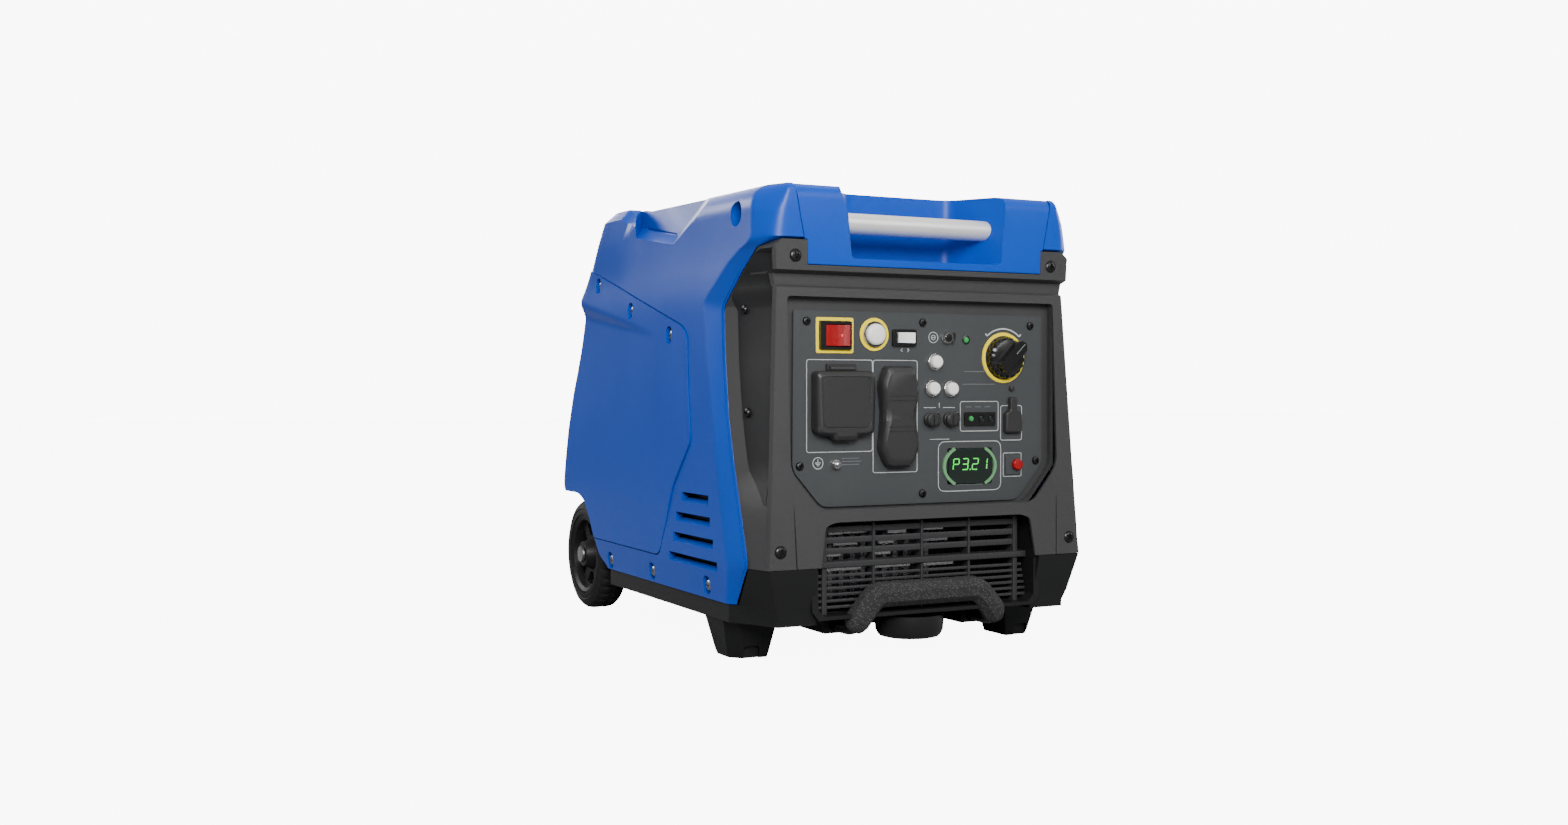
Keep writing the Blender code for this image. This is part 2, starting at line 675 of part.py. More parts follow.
def build_fuel_system():
    x, y = CAP_AT
    tank = place("fuel_tank", box((-150, -212, 388), (150, 110, 474), 2), "black_plastic")
    join(tank, disc(2, (x, y, 0), 27, 465, 499, 12))
    cut(tank, box((-146, -208, 392), (146, 106, 470)), disc(2, (x, y, 0), 22, 460, 505, 12))
    insert = [(484, 14), (500.5, 14), (500.5, 24), (503.5, 24)]
    place("fuel_cap_insert", turned(insert, 2, (x, y, 0), 24), "black_plastic", (x, y, 500))
    cap = [(504.3, 35), (518, 36), (CAP_TOP, 33)]
    place("fuel_cap", turned(cap, 2, (x, y, 0), 28), "black_plastic", (x, y, 504))
    lever = box((x - 4, y - 5, CAP_TOP + GAP), (x + 20, y + 5, CAP_TOP + 5), 1)
    place("cap_vent_lever", lever, "black_plastic", (x, y, CAP_TOP))


def build_engine():
    y, z = CRANK
    block = place("engine_block", box((-80, y - 62, 70), (50, y + 68, 250), 8), "cast_aluminium")
    cut(block, disc(0, (0, y, z), CRANK_R + GAP, -90, 60, 20))
    fins = [(24 + v, 251 + u) for u, v in comb(94, 96, 84, 9)]
    place("cylinder_head", prism(fins, 0, -62, 32), "cast_aluminium")
    plug = [(-100, 9), (-78, 9), (-78, 6), (-62.5, 6)]
    place("spark_plug", turned(plug, 0, (0, 72, 300), 14), "white_plastic")
    place("crankshaft", turned([(-70, CRANK_R), (133, CRANK_R)], 0, (0, y, z), 20), "steel", (0, y, z))
    place("flywheel_rotor", ring_of(0, (0, y, z), 60, CRANK_R + GAP, 57, 102), "steel", (0, y, z))
    place("alternator_stator", ring_of(0, (0, y, z), 84, 62, 56, 100), "cast_aluminium")
    blades = []
    for step in range(48):
        radius = 80 if step % 4 in (0, 1) else 58
        angle = 2 * math.pi * step / 48
        blades.append((y + radius * math.cos(angle), z + radius * math.sin(angle)))
    fan = place("cooling_fan", prism(blades, 0, 108, 126), "black_plastic", (0, y, z))
    cut(fan, disc(0, (0, y, z), CRANK_R + GAP, 100, 130, 20))
    pulley = [(137, 9), (137, 46), (139, 46), (139, 36), (145, 36), (145, 46), (147, 46), (147, 9)]
    place("recoil_pulley", turned(pulley, 0, (0, y, z), 24, hollow=True), "black_plastic", (0, y, z))
    housing = [(104, 91), (162, 91), (165, 88), (165, 2), (163, 2), (163, 6), (136, 6), (136, 8.5),
               (162, 8.5), (162, 86), (160, 88), (104, 88)]
    place("recoil_housing", turned(housing, 0, (0, y, z), 22, hollow=True), "black_plastic")
    starter = [(-75, 22), (20, 22), (20, 10), (46, 10)]
    place("starter_motor", turned(starter, 0, (0, 170, 105), 20), "steel")
    place("carburettor", box((-38, -32, 268), (8, 23, 312), 4), "cast_aluminium")
    place("air_filter_box", box((-110, -140, 228), (40, -33, 350), 8), "black_plastic")
    muffler = place("muffler", box((-125, 150, 195), (40, 262, 330), 14), "steel")
    join(muffler, disc(1, (-15, 0, 300), 14, 122, 160, 16))
    place("exhaust_outlet", ring_of(1, (-80, 0, 250), 18, 15.5, 262.5, 309), "steel")


def build_electrics():
    fins = [(-112 + u, -212 - v) for u, v in comb(224, 50, 34, 16, 0.4)]
    place("inverter_module", prism(fins, 2, 66, 136), "cast_aluminium")
    place("battery", box((-195, -150, 70), (-112, -30, 165), 3), "black_plastic")


def build_recoil_handle():
    y, z = RECOIL
    route = [(x, y, z) for x in (200.4, 120, 40, -40, -120)]
    place("recoil_rope", swept(route, 2.5, 8), "rope")
    place("recoil_handle", box((201, y - 44, z - 8), (219, y + 44, z + 8), 5), "black_plastic")


# --- control panel -----------------------------------------------------------------------------------

STOP_AT = (-110.5, 357.7)
START_AT = (-63.1, 359.7)
EFFICIENCY_AT = (-23.0, 356.6)
KNOB_AT = (109.8, 335.5)
BREAKERS = {"main_breaker_button": (15.7, 330.0), "breaker_30a_button": (12.3, 300.0),
            "breaker_20a_button": (36.9, 299.7)}
SOCKET_30_AT = (-105.0, 284.0)
SOCKET_20_AT = (-35.0, 269.0)
PARALLEL = {"left": (9.7, 265.1), "right": (35.4, 265.1)}
USB_AT = (121.2, 260.0)
DISPLAY_AT = (64.0, 211.5)
RESET_AT = (127.4, 211.9)
LID_HINGE_Y = -290.0
LID_WALL = 3.8
LID_30A = [(-141.5, 250), (-136, 246), (-121, 246), (-119, 242.6), (-92, 242.6), (-90, 246), (-74, 246),
           (-68.5, 251), (-68.5, 316), (-72, 320), (-138, 320), (-141.5, 316)]
LID_20A = [(-50, 213), (-20, 213), (-10.5, 232), (-14, 272), (-10, 300), (-17, 325), (-52, 325),
           (-59.5, 306), (-56.5, 272), (-60, 232)]
LID_USB = [(109.6, 248.8), (132.8, 248.8), (132.8, 272), (126, 276), (126, 290), (116, 290), (116, 276),
           (109.6, 272)]


def rocker(at, half_x, half_z, rest_degrees):
    """A rocker whose axis is upright: two faces that meet at a shallow valley, resting on one side."""
    x, z = at
    turn = math.radians(rest_degrees)
    pivot = Vector((x, PANEL_Y + 2))
    outline = []
    for u, v in ((-half_x, 2), (-half_x, -10), (0, -7), (half_x, -10), (half_x, 2)):
        outline.append((pivot.x + u * math.cos(turn) - v * math.sin(turn),
                        pivot.y + u * math.sin(turn) + v * math.cos(turn)))
    return prism(outline, 2, z - half_z, z + half_z)


def push_button(name, at, radius, proud, slot):
    """A turned button: its cap in front of the panel, its stem through it."""
    x, z = at
    stem = radius * 0.7
    profile = [(PANEL_Y - proud, radius - 1), (PANEL_Y - proud + 1, radius), (PANEL_Y - 3.5, radius),
               (PANEL_Y - 3.5, stem), (PANEL_BACK + 4, stem)]
    place(name, turned(profile, 1, (x, 0, z), 20), slot, (x, PANEL_Y, z))
    return disc(1, (x, 0, z), stem + 0.6, -300, -270, 20)


def lid(name, outline, hinge_z, depth, slot):
    """A cover hinged along its top edge, hollow at the back."""
    cover = place(name, prism(outline, 1, PANEL_Y - depth, PANEL_Y - 0.6), slot,
                  (sum(p[0] for p in outline) / len(outline), LID_HINGE_Y, hinge_z))
    middle = Vector((sum(p[0] for p in outline), sum(p[1] for p in outline))) / len(outline)
    inner = []
    for point in outline:
        arm = Vector(point) - middle
        inner.append(tuple(middle + arm * (1 - LID_WALL / arm.length)))
    cut(cover, prism(inner, 1, PANEL_Y - depth + 2.5, PANEL_Y + 2))


def build_controls():
    holes = []
    for name, at, half_x, half_z, slot in (("stop_switch_rocker", STOP_AT, 14, 11.4, "red_plastic"),
                                           ("efficiency_rocker", EFFICIENCY_AT, 10, 5.8, "white_plastic")):
        place(name, rocker(at, half_x, half_z, -9), slot, (at[0], PANEL_Y + 2, at[1]))
        holes.append(box((at[0] - half_x - 2, -300, at[1] - half_z - 0.6),
                         (at[0] + half_x + 2, -270, at[1] + half_z + 0.6)))
    holes.append(push_button("start_button", START_AT, 12, 9, "clear_plastic"))
    holes.append(push_button("reset_button", RESET_AT, 6.5, 7.5, "red_plastic"))
    for name, at in BREAKERS.items():
        holes.append(push_button(name, at, 7.4, 9, "clear_plastic"))
    x, z = KNOB_AT
    profile = [(-298, 21), (-295.5, 24), (-288, 24), (-288, 9), (-279, 9)]
    knob = place("fuel_knob", turned(profile, 1, (x, 0, z), 28), "black_plastic", (x, PANEL_Y, z))
    grip = [(x + u, z + v) for u, v in ((-19, -10), (-10, -19), (19, 10), (17, 17), (10, 19))]
    join(knob, prism(grip, 1, -308, -292))
    holes.append(disc(1, (x, 0, z), 9.8, -300, -270, 20))
    x, z = SOCKET_30_AT
    place("socket_30a", turned([(PANEL_Y - 2.5, 27), (PANEL_BACK + 24, 27)], 1, (x, 0, z), 28),
          "black_plastic")
    holes.append(disc(1, (x, 0, z), 27.4, -300, -270, 28))
    x, z = SOCKET_20_AT
    block = box((x - 17, PANEL_Y - 2.5, z - 43), (x + 17, PANEL_BACK + 24, z + 43), 1)
    place("socket_20a", block, "black_plastic")
    holes.append(box((x - 17.4, -300, z - 43.4), (x + 17.4, -270, z + 43.4)))
    lid("socket_30a_cover", LID_30A, 321, 16, "soft_rubber")
    lid("socket_20a_cover", LID_20A, 326, 15, "soft_rubber")
    lid("usb_cover", LID_USB, 290, 7, "soft_rubber")
    holes.append(box((112, -300, 251), (130, -270, 270)))
    for side, at in PARALLEL.items():
        profile = [(PANEL_Y - 11, 6.5), (PANEL_Y - 9, 8.2), (PANEL_Y - 0.5, 8.2), (PANEL_Y - 0.5, 4),
                   (PANEL_BACK + 3, 4)]
        place(f"parallel_cap_{side}", turned(profile, 1, (at[0], 0, at[1]), 20), "soft_rubber")
        holes.append(disc(1, (at[0], 0, at[1]), 4.6, -300, -270, 16))
    x, z = DISPLAY_AT
    meter = box((x - 30, PANEL_Y - 2, z - 20), (x + 30, PANEL_BACK + 14, z + 20), 1)
    place("display_meter", meter, "display_glass")
    holes.append(box((x - 30.4, -300, z - 20.4), (x + 30.4, -270, z + 20.4)))
    panel = place("control_panel", prism(PANEL_OUTLINE, 1, PANEL_Y, PANEL_BACK), "panel_face")
    cut(panel, *holes)


def build_all():
    clear_scene()
    for name, side in (("left", -1), ("right", 1)):
        cover = build_side_covers(name, side)
    build_recoil_pocket(cover)
    build_top_cover()
    build_bezel()
    build_grille()
    build_rear_cover()
    build_base_tray()
    build_feet()
    build_bars()
    drum = [(18, 36), (21, 39.5), (44.2, 40)]
    place("round_base_cover", turned(drum, 2, (0, -258.6, 0), 28), "black_plastic")
    build_tow_handle()
    build_wheels()
    build_fuel_system()
    build_engine()
    build_electrics()
    build_recoil_handle()
    build_controls()


build_all()
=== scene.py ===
"""Looks of the inverter generator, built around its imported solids.

Figures are millimetres in the model's own frame: +Z up, the control panel faces -Y and X runs across the
machine. MM turns them into metres as each mesh is made. Left and right are as seen from the front."""

import math

import bmesh
import bpy
from mathutils import Matrix, Vector


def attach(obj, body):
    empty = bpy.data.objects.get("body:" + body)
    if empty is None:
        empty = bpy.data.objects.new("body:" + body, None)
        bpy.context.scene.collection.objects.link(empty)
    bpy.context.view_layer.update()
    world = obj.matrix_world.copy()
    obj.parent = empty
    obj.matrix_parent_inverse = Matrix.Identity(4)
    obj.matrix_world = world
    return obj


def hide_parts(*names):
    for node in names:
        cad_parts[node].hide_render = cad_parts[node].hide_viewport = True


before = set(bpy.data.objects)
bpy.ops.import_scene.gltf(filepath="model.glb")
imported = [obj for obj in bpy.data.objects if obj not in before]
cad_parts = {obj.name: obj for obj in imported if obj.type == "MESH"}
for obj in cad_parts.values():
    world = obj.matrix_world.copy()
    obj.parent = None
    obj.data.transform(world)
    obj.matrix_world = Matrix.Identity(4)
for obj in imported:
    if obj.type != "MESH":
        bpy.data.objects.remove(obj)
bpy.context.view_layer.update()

MM = 0.001
FINE = 1.0  # share of the full mesh density

# Camera, in metres
CAMERA_AT = (-0.9072, -1.7257, 0.2980)
CAMERA_TILT, CAMERA_YAW = math.radians(90 - 0.844), math.radians(-26.98)
LENS, SENSOR = 34.593, 36.0

# Planes and driving sizes of the case
PANEL_Y, PANEL_BACK = -286.6, -283.6
PANEL_OUT, PANEL_IN = -300, -270  # cutters for the panel run between these two
FACE_Y = -299.6
WALL = 3.0
SEAM_X, REAR_SEAM_X = 168.0, 168.3
TOP_FRONT, HEIGHT, RIDGE_Y = 520.0, 532.0, 110.0
HALF_WIDTH = 222.4  # nothing on the sides stands further out
CORNER = 12.0
FRONT_SHOULDER, REAR_SHOULDER = (26.0, 26.0), (11.0, 13.0)  # how far in, and how far down
FRONT_ROUND = 0.31  # the head's front edge takes this share of its shoulder
BAND_DEPTH = 8.0
FACET_Y = -269.6
CREASE_START, CREASE_DEPTH = -21.0, 9.0
# Tables of (z, x or y) at levels of the side
HEAD_CORNER = ((462, 191), (478, 187.5), (494, 183), (508, 177.5), (520, 172))
SKIN_HALF_WIDTH = ((65, 218.5), (110, 222.5), (265, 217.5), (400, 212), (450, 207), (480, 205.5), (526, 205))
BOUNDARY_Y = ((65, -245), (111, -280.6), (170, -257), (222, -236.6), (271, -220.6), (330, -207),
              (391, -198.6), (428, -238.6), (455, -275))
BAND_Y = ((65, -236.6), (107, -243.6), (220, -208.6), (265, -196.6), (330, -176), (398, -158.6),
          (438, -216.6), (462, -269.6))
REAR_Y = ((156, 303), (163, 309), (171, 310.4), (243, 305.5), (294, 297.5), (354, 279), (397, 268),
          (422, 268), (462, 229), (500, 194), (524, 172), (532, 160))
ARCH = [(125, 40), (132.6, 66), (164, 79), (195, 124), (219, 150), (243, 157.5), (330, 157.5), (330, 40)]
COVER_SEAM = [(330, 487.6), (-98, 374), (-117, 363), (-123, 312), (-136, 250), (-136, 238), (-88, 184),
              (-72, 144), (-49, 101), (183, 102), (215, 130), (330, 130)]
COVER_SEAM_RADII = [1, 7, 9, 9, 9, 7, 12, 12, 12, 10, 10, 1]
LOUVRES = ((-190, -115, 173, 180), (-196, -99, 149, 156), (-206, -93, 125, 132), (-217, -80, 101, 108))
SIDE_HOLE = (-231.0, 491.0, 14.0)
SIDE_SCREWS = ((193.5, 437.8), (67.2, 398.4), (-63.2, 363.8))
LOWER_SCREWS = ((122.8, 77), (-21, 78), (-185, 79.8))
SEAM_GAP = 1.7
SIDE_OUT, SIDE_IN = -240, -150  # cutters for the left side run between these two
RECOIL = (20.0, 366.0)
RECOIL_POCKET = (52.0, 17.0)

# Running gear and bars
WHEEL_R, WHEEL_Y, AXLE_Z = 74.0, 237.0, 74
WHEEL_OUT, WHEEL_IN = 217.4, 175.6
AXLE_R = 8.0
EXHAUST_AT = (-80, 0, 250)
ROUND_COVER_AT = (0, -258.6, 0)
BAR_R, BAR_HALF = 11.8, 112.0
FRONT_BAR, REAR_BAR = (-271.6, 482.0), (166.0, 490.0)
TOW_X, TOW_Z, GRIP_R, GRIP_Y = 91.0, 36.0, 14.0, -297.0


# --- materials ---------------------------------------------------------------------------------------


def new_material(name, colour, roughness, metallic=0.0, shine=0.5):
    made = bpy.data.materials.new(name)
    made.use_nodes = True
    shader = made.node_tree.nodes["Principled BSDF"]
    shader.inputs["Specular IOR Level"].default_value = shine
    shader.inputs["Base Color"].default_value = (*colour, 1)
    shader.inputs["Roughness"].default_value = roughness
    shader.inputs["Metallic"].default_value = metallic
    return made, shader


def node(made, kind, **values):
    added = made.node_tree.nodes.new(kind)
    for key, value in values.items():
        added.inputs[key.replace("_", " ")].default_value = value
    return added


def place_of(made, stretch=(1, 1, 1)):
    """The model's own coordinates, in metres, stretched along each axis."""
    coordinates = made.node_tree.nodes.new("ShaderNodeTexCoord")
    mapping = made.node_tree.nodes.new("ShaderNodeMapping")
    mapping.inputs["Scale"].default_value = stretch
    made.node_tree.links.new(coordinates.outputs["Object"], mapping.inputs["Vector"])
    return mapping.outputs["Vector"]


def textured(name, colour, roughness, grain, depth, metallic=0.0, tone=0.06, spread=0.05, stretch=(1, 1, 1),
             shine=0.5):
    """A finish with fine grain in its bump, and slow drifts of tone and gloss over the surface."""
    made, shader = new_material(name, colour, roughness, metallic, shine)
    link = made.node_tree.links.new
    where = place_of(made, stretch)
    fine = node(made, "ShaderNodeTexNoise", Scale=grain, Detail=3.0)
    slow = node(made, "ShaderNodeTexNoise", Scale=14.0, Detail=4.0)
    link(where, fine.inputs["Vector"])
    link(where, slow.inputs["Vector"])
    bump = node(made, "ShaderNodeBump", Strength=depth, Distance=0.0004)
    link(fine.outputs["Fac"], bump.inputs["Height"])
    link(bump.outputs["Normal"], shader.inputs["Normal"])
    tones = made.node_tree.nodes.new("ShaderNodeMix")
    tones.data_type = "RGBA"
    tones.inputs["A"].default_value = (*[c * (1 - tone) for c in colour], 1)
    tones.inputs["B"].default_value = (*[min(c * (1 + tone), 1) for c in colour], 1)
    link(slow.outputs["Fac"], tones.inputs["Factor"])
    link(tones.outputs["Result"], shader.inputs["Base Color"])
    gloss = node(made, "ShaderNodeMapRange", To_Min=roughness - spread, To_Max=roughness + spread)
    link(slow.outputs["Fac"], gloss.inputs["Value"])
    link(gloss.outputs["Result"], shader.inputs["Roughness"])
    return made


def glowing(name, colour, strength, roughness=0.3):
    made, shader = new_material(name, colour, roughness)
    shader.inputs["Emission Color"].default_value = (*colour, 1)
    shader.inputs["Emission Strength"].default_value = strength
    slow = node(made, "ShaderNodeTexNoise", Scale=220.0, Detail=2.0)
    made.node_tree.links.new(place_of(made), slow.inputs["Vector"])
    gloss = node(made, "ShaderNodeMapRange", To_Min=roughness - 0.08, To_Max=roughness + 0.08)
    made.node_tree.links.new(slow.outputs["Fac"], gloss.inputs["Value"])
    made.node_tree.links.new(gloss.outputs["Result"], shader.inputs["Roughness"])
    return made


def speckled_foam():
    made = textured("foam_grip", (0.018, 0.018, 0.018), 0.92, 520.0, 1.0, tone=0.2, spread=0.03)
    shader = made.node_tree.nodes["Principled BSDF"]
    link = made.node_tree.links.new
    cells = node(made, "ShaderNodeTexVoronoi", Scale=420.0)
    link(place_of(made), cells.inputs["Vector"])
    tones = made.node_tree.nodes.new("ShaderNodeValToRGB")
    tones.color_ramp.elements[0].position = 0.18
    tones.color_ramp.elements[0].color = (0.055, 0.055, 0.055, 1)
    tones.color_ramp.elements[1].position = 0.42
    tones.color_ramp.elements[1].color = (0.012, 0.012, 0.012, 1)
    link(cells.outputs["Distance"], tones.inputs["Fac"])
    link(tones.outputs["Color"], shader.inputs["Base Color"])
    return made


FINISHES = (  # look, slot, material, colour, roughness, size and depth of its grain, what else differs
    ("blue", "blue_plastic", "blue_moulding", (0.0, 0.052, 0.40), 0.34, 2600, 0.08,
     dict(tone=0.05, shine=0.26)),
    ("grey", "grey_plastic", "grey_moulding", (0.036, 0.036, 0.037), 0.45, 1500, 0.30, dict(shine=0.3)),
    ("black", "black_plastic", "black_moulding", (0.008, 0.008, 0.0084), 0.46, 1300, 0.35, dict(shine=0.24)),
    # The wing grey is darker than the frame's own grey: painted shade for the recessed wings.
    ("wing", "grey_plastic", "wing_moulding", (0.014, 0.014, 0.015), 0.5, 1500, 0.30, dict(shine=0.2)),
    ("grille", "black_plastic", "grille_moulding", (0.024, 0.024, 0.025), 0.42, 1300, 0.2, dict(shine=0.35)),
    ("gloss_black", "black_plastic", "black_gloss", (0.007, 0.007, 0.007), 0.24, 900, 0.06, {}),
    ("panel", "panel_face", "panel_film", (0.042, 0.046, 0.048), 0.42, 3000, 0.12, dict(shine=0.3)),
    ("print", "panel_face", "panel_print", (0.42, 0.43, 0.43), 0.5, 2500, 0.05, {}),
    ("dim_print", "panel_face", "panel_print_dim", (0.11, 0.12, 0.125), 0.5, 2500, 0.05, {}),
    ("yellow", "panel_face", "yellow_print", (0.86, 0.66, 0.0), 0.42, 2500, 0.08, {}),
    ("bar", "anodised_aluminium", "anodised_bar", (0.80, 0.79, 0.78), 0.42, 260, 0.12,
     dict(metallic=0.55, stretch=(0.08, 1, 1))),
    ("cast", "cast_aluminium", "cast_metal", (0.42, 0.43, 0.44), 0.5, 700, 0.5, dict(metallic=1.0)),
    ("steel", "steel", "plain_steel", (0.34, 0.34, 0.35), 0.34, 900, 0.10, dict(metallic=1.0)),
    ("bright_fin", "cast_aluminium", "bright_fins", (0.95, 0.95, 0.95), 0.5, 700, 0.2, dict(metallic=0.3)),
    ("chrome", "steel", "bright_plating", (0.62, 0.62, 0.61), 0.14, 900, 0.03, dict(metallic=1.0)),
    ("dark_steel", "steel", "black_oxide", (0.030, 0.030, 0.031), 0.30, 900, 0.12, dict(metallic=0.85)),
    ("tyre", "tyre_rubber", "tyre_rubber_look", (0.011, 0.011, 0.011), 0.62, 900, 0.45, dict(shine=0.2)),
    ("white", "white_plastic", "white_moulding", (0.78, 0.78, 0.76), 0.34, 1200, 0.05, {}),
    ("clear", "clear_plastic", "milky_cap", (0.80, 0.79, 0.76), 0.20, 900, 0.05, {}),
    ("rubber", "soft_rubber", "soft_rubber_look", (0.019, 0.019, 0.0195), 0.42, 1700, 0.2, dict(shine=0.42)),
    ("lens", "display_glass", "meter_lens", (0.010, 0.016, 0.013), 0.12, 900, 0.02, {}),
    ("rope", "rope", "braided_rope", (0.03, 0.03, 0.03), 0.85, 600, 1.0, {}),
)
GLOWS = (  # look, slot, material, colour, strength
    # The first red is plain red plastic for the stop rocker and the reset cap; its faint glow is painted
    # light, for neither part is a lamp.
    ("red", "red_plastic", "red_painted_glow", (0.26, 0.0, 0.002), 0.03),
    ("red_glow", "red_plastic", "lamp_in_red", (1.0, 0.05, 0.02), 1.0),
    ("green", "display_glass", "green_digits", (0.05, 0.80, 0.08), 0.9),
    ("lamp", "display_glass", "green_lamp", (0.02, 0.22, 0.05), 0.35),
    ("dim_green", "display_glass", "green_scale", (0.10, 0.24, 0.11), 0.16),
)
LOOKS = {look: (slot, textured(*values, **extras)) for look, slot, *values, extras in FINISHES}
LOOKS.update({look: (slot, glowing(*values)) for look, slot, *values in GLOWS})
LOOKS["foam"] = ("foam", speckled_foam())


# --- mesh helpers ------------------------------------------------------------------------------------


def along(table, value):
    """Straight-line reading of a table of (key, value) pairs, held flat past its ends."""
    if value <= table[0][0]:
        return table[0][1]
    for (low, a), (high, b) in zip(table, table[1:]):
        if value <= high:
            return a + (b - a) * (value - low) / (high - low)
    return table[-1][1]


def eased(table, value, reach=5.0):
    """The same reading, with the table's corners rounded over a distance."""
    return sum(along(table, value + reach * step / 2) for step in (-2, -1, 0, 1, 2)) / 5


def ramp(value, low, high):
    return min(max((value - low) / (high - low), 0.0), 1.0)


def soft(value, low, high):
    t = ramp(value, low, high)
    return t * t * (3 - 2 * t)


def mirrored(points):
    return list(points) + [(-p[0],) + tuple(p[1:]) for p in reversed(points)]


def smooth_corners(points, radius, steps=4, closed=True):
    """A flat outline with its corners rounded; radius is one figure or one for each corner."""
    points = [Vector(p) for p in points]
    count = len(points)
    radii = radius if isinstance(radius, (list, tuple)) else [radius] * count
    out = []
    for i, corner in enumerate(points):
        if not closed and i in (0, count - 1):
            out.append(corner)
            continue
        before, after = points[i - 1], points[(i + 1) % count]
        reach = min(radii[i], 0.48 * (before - corner).length, 0.48 * (after - corner).length)
        a = corner + (before - corner).normalized() * reach
        b = corner + (after - corner).normalized() * reach
        for step in range(steps + 1):
            t = step / steps
            out.append(a * (1 - t) ** 2 + corner * 2 * t * (1 - t) + b * t * t)
    return [tuple(p) for p in out]


def bridge(bm, rings, closed=False):
    """Joins rings of equal length into a tube; its ends are filled, or joined when closed."""
    count = len(rings[0])
    pairs = list(zip(rings, rings[1:]))
    if closed:
        pairs.append((rings[-1], rings[0]))
    for first, second in pairs:
        for i in range(count):
            j = (i + 1) % count
            bm.faces.new((first[i], first[j], second[j], second[i]))
    if not closed:
        bm.faces.new(list(reversed(rings[0])))
        bm.faces.new(rings[-1])
    bmesh.ops.recalc_face_normals(bm, faces=bm.faces)
    return bm


def ring_tube(rings, closed=False):
    """A closed mesh through rings of points."""
    bm = bmesh.new()
    return bridge(bm, [[bm.verts.new(p) for p in ring] for ring in rings], closed)


def prism(outline, axis, low, high):
    """A flat outline, given in the two other axes in X, Y, Z order, drawn out along an axis."""
    return ring_tube([[tuple(p[:axis]) + (level,) + tuple(p[axis:]) for p in outline]
                      for level in (low, high)])


def box(low, high):
    return prism([(low[0], low[1]), (high[0], low[1]), (high[0], high[1]), (low[0], high[1])], 2, low[2],
                 high[2])


def side_box(side, low, high):
    """A block given for the right side, or the same on the left when side is -1."""
    x0, x1 = sorted((side * low[0], side * high[0]))
    return box((x0, *low[1:]), (x1, *high[1:]))


def rounded_box(low, high, radius, axis=1):
    """A block whose outline, seen along an axis, has round corners."""
    a, b = [k for k in (0, 1, 2) if k != axis]
    outline = [(low[a], low[b]), (high[a], low[b]), (high[a], high[b]), (low[a], high[b])]
    return prism(smooth_corners(outline, radius), axis, low[axis], high[axis])


def frame_of(axis):
    main = Vector([(1, 0, 0), (0, 1, 0), (0, 0, 1)][axis])
    side = Vector([(0, 1, 0), (0, 0, 1), (1, 0, 0)][axis])
    return main, side, main.cross(side)


def turned(profile, axis, centre, steps=48, hollow=False, shape=None):
    """A turned solid from (distance along the axis, radius); shape can change the radius with the angle."""
    main, side, other = frame_of(axis)
    steps = max(12, round(steps * FINE))
    rings = []
    for distance, radius in profile:
        ring = []
        for step in range(steps):
            angle = 2 * math.pi * step / steps
            r = shape(angle, radius, distance) if shape else radius
            around = side * math.cos(angle) + other * math.sin(angle)
            ring.append(Vector(centre) + main * distance + around * r)
        rings.append(ring)
    return ring_tube(rings, hollow)


def disc(axis, centre, radius, low, high, steps=32):
    return turned([(low, radius), (high, radius)], axis, centre, steps)


def swept(points, radius, sides=16):
    """A round bar along a path; radius is one figure, or a function of the share of the path passed."""
    points = [Vector(p) for p in points]
    rings = []
    up = None
    for i, point in enumerate(points):
        before = points[max(i - 1, 0)]
        after = points[min(i + 1, len(points) - 1)]
        direction = (after - before).normalized()
        up = direction.orthogonal() if up is None else up - direction * up.dot(direction)
        up.normalize()
        side = direction.cross(up)
        r = radius(i / (len(points) - 1)) if callable(radius) else radius
        rings.append([point + (up * math.cos(a) + side * math.sin(a)) * r
                      for a in [2 * math.pi * (k + 0.5) / sides for k in range(sides)]])
    return ring_tube(rings)


def ribbon(points, width, low, high, closed=False):
    """A flat strip along a path on the panel plane, points as (x, z), between two Y levels."""
    points = [Vector(p) for p in points]
    count = len(points)
    sides = ([], [])
    for i, point in enumerate(points):
        before = points[i - 1] if closed or i else point
        after = points[(i + 1) % count] if closed or i + 1 < count else point
        direction = (after - before).normalized()
        across = Vector((-direction.y, direction.x)) * width / 2
        sides[0].append(point + across)
        sides[1].append(point - across)
    rings = []
    for a, b in zip(*sides):
        rings.append([(a.x, low, a.y), (b.x, low, b.y), (b.x, high, b.y), (a.x, high, a.y)])
    return ring_tube(rings, closed)


def arc(centre, radius, start, end, steps=20):
    """Points of an arc on a plane, from start to end degrees."""
    out = []
    for step in range(steps + 1):
        angle = math.radians(start + (end - start) * step / steps)
        out.append((centre[0] + radius * math.cos(angle), centre[1] + radius * math.sin(angle)))
    return out


def merged(*meshes):
    """Several closed meshes as one."""
    out = bmesh.new()
    for bm in meshes:
        held = bpy.data.meshes.new("held")
        bm.to_mesh(held)
        bm.free()
        out.from_mesh(held)
        bpy.data.meshes.remove(held)
    return out


def flipped(bm):
    """The same shape on the other side of the machine."""
    other = bm.copy()
    for vertex in other.verts:
        vertex.co.x = -vertex.co.x
    bmesh.ops.reverse_faces(other, faces=other.faces)
    return other


def combine(bm, operation, *tools):
    """The shape with each closed tool cut from it, joined to it or crossed with it."""
    for tool in tools:
        pair = []
        for shape in (bm, tool):
            mesh = bpy.data.meshes.new("held")
            shape.to_mesh(mesh)
            shape.free()
            obj = bpy.data.objects.new("held", mesh)
            bpy.context.scene.collection.objects.link(obj)
            pair.append(obj)
        modifier = pair[0].modifiers.new("Combine", "BOOLEAN")
        modifier.operation = operation
        modifier.solver = "MANIFOLD"
        modifier.object = pair[1]
        bpy.context.view_layer.update()
        result = pair[0].evaluated_get(bpy.context.evaluated_depsgraph_get()).to_mesh()
        bm = bmesh.new()
        bm.from_mesh(result)
        for obj in pair:
            mesh = obj.data
            bpy.data.objects.remove(obj)
            bpy.data.meshes.remove(mesh)
    return bm


def cut(bm, *tools):
    return combine(bm, "DIFFERENCE", *tools)


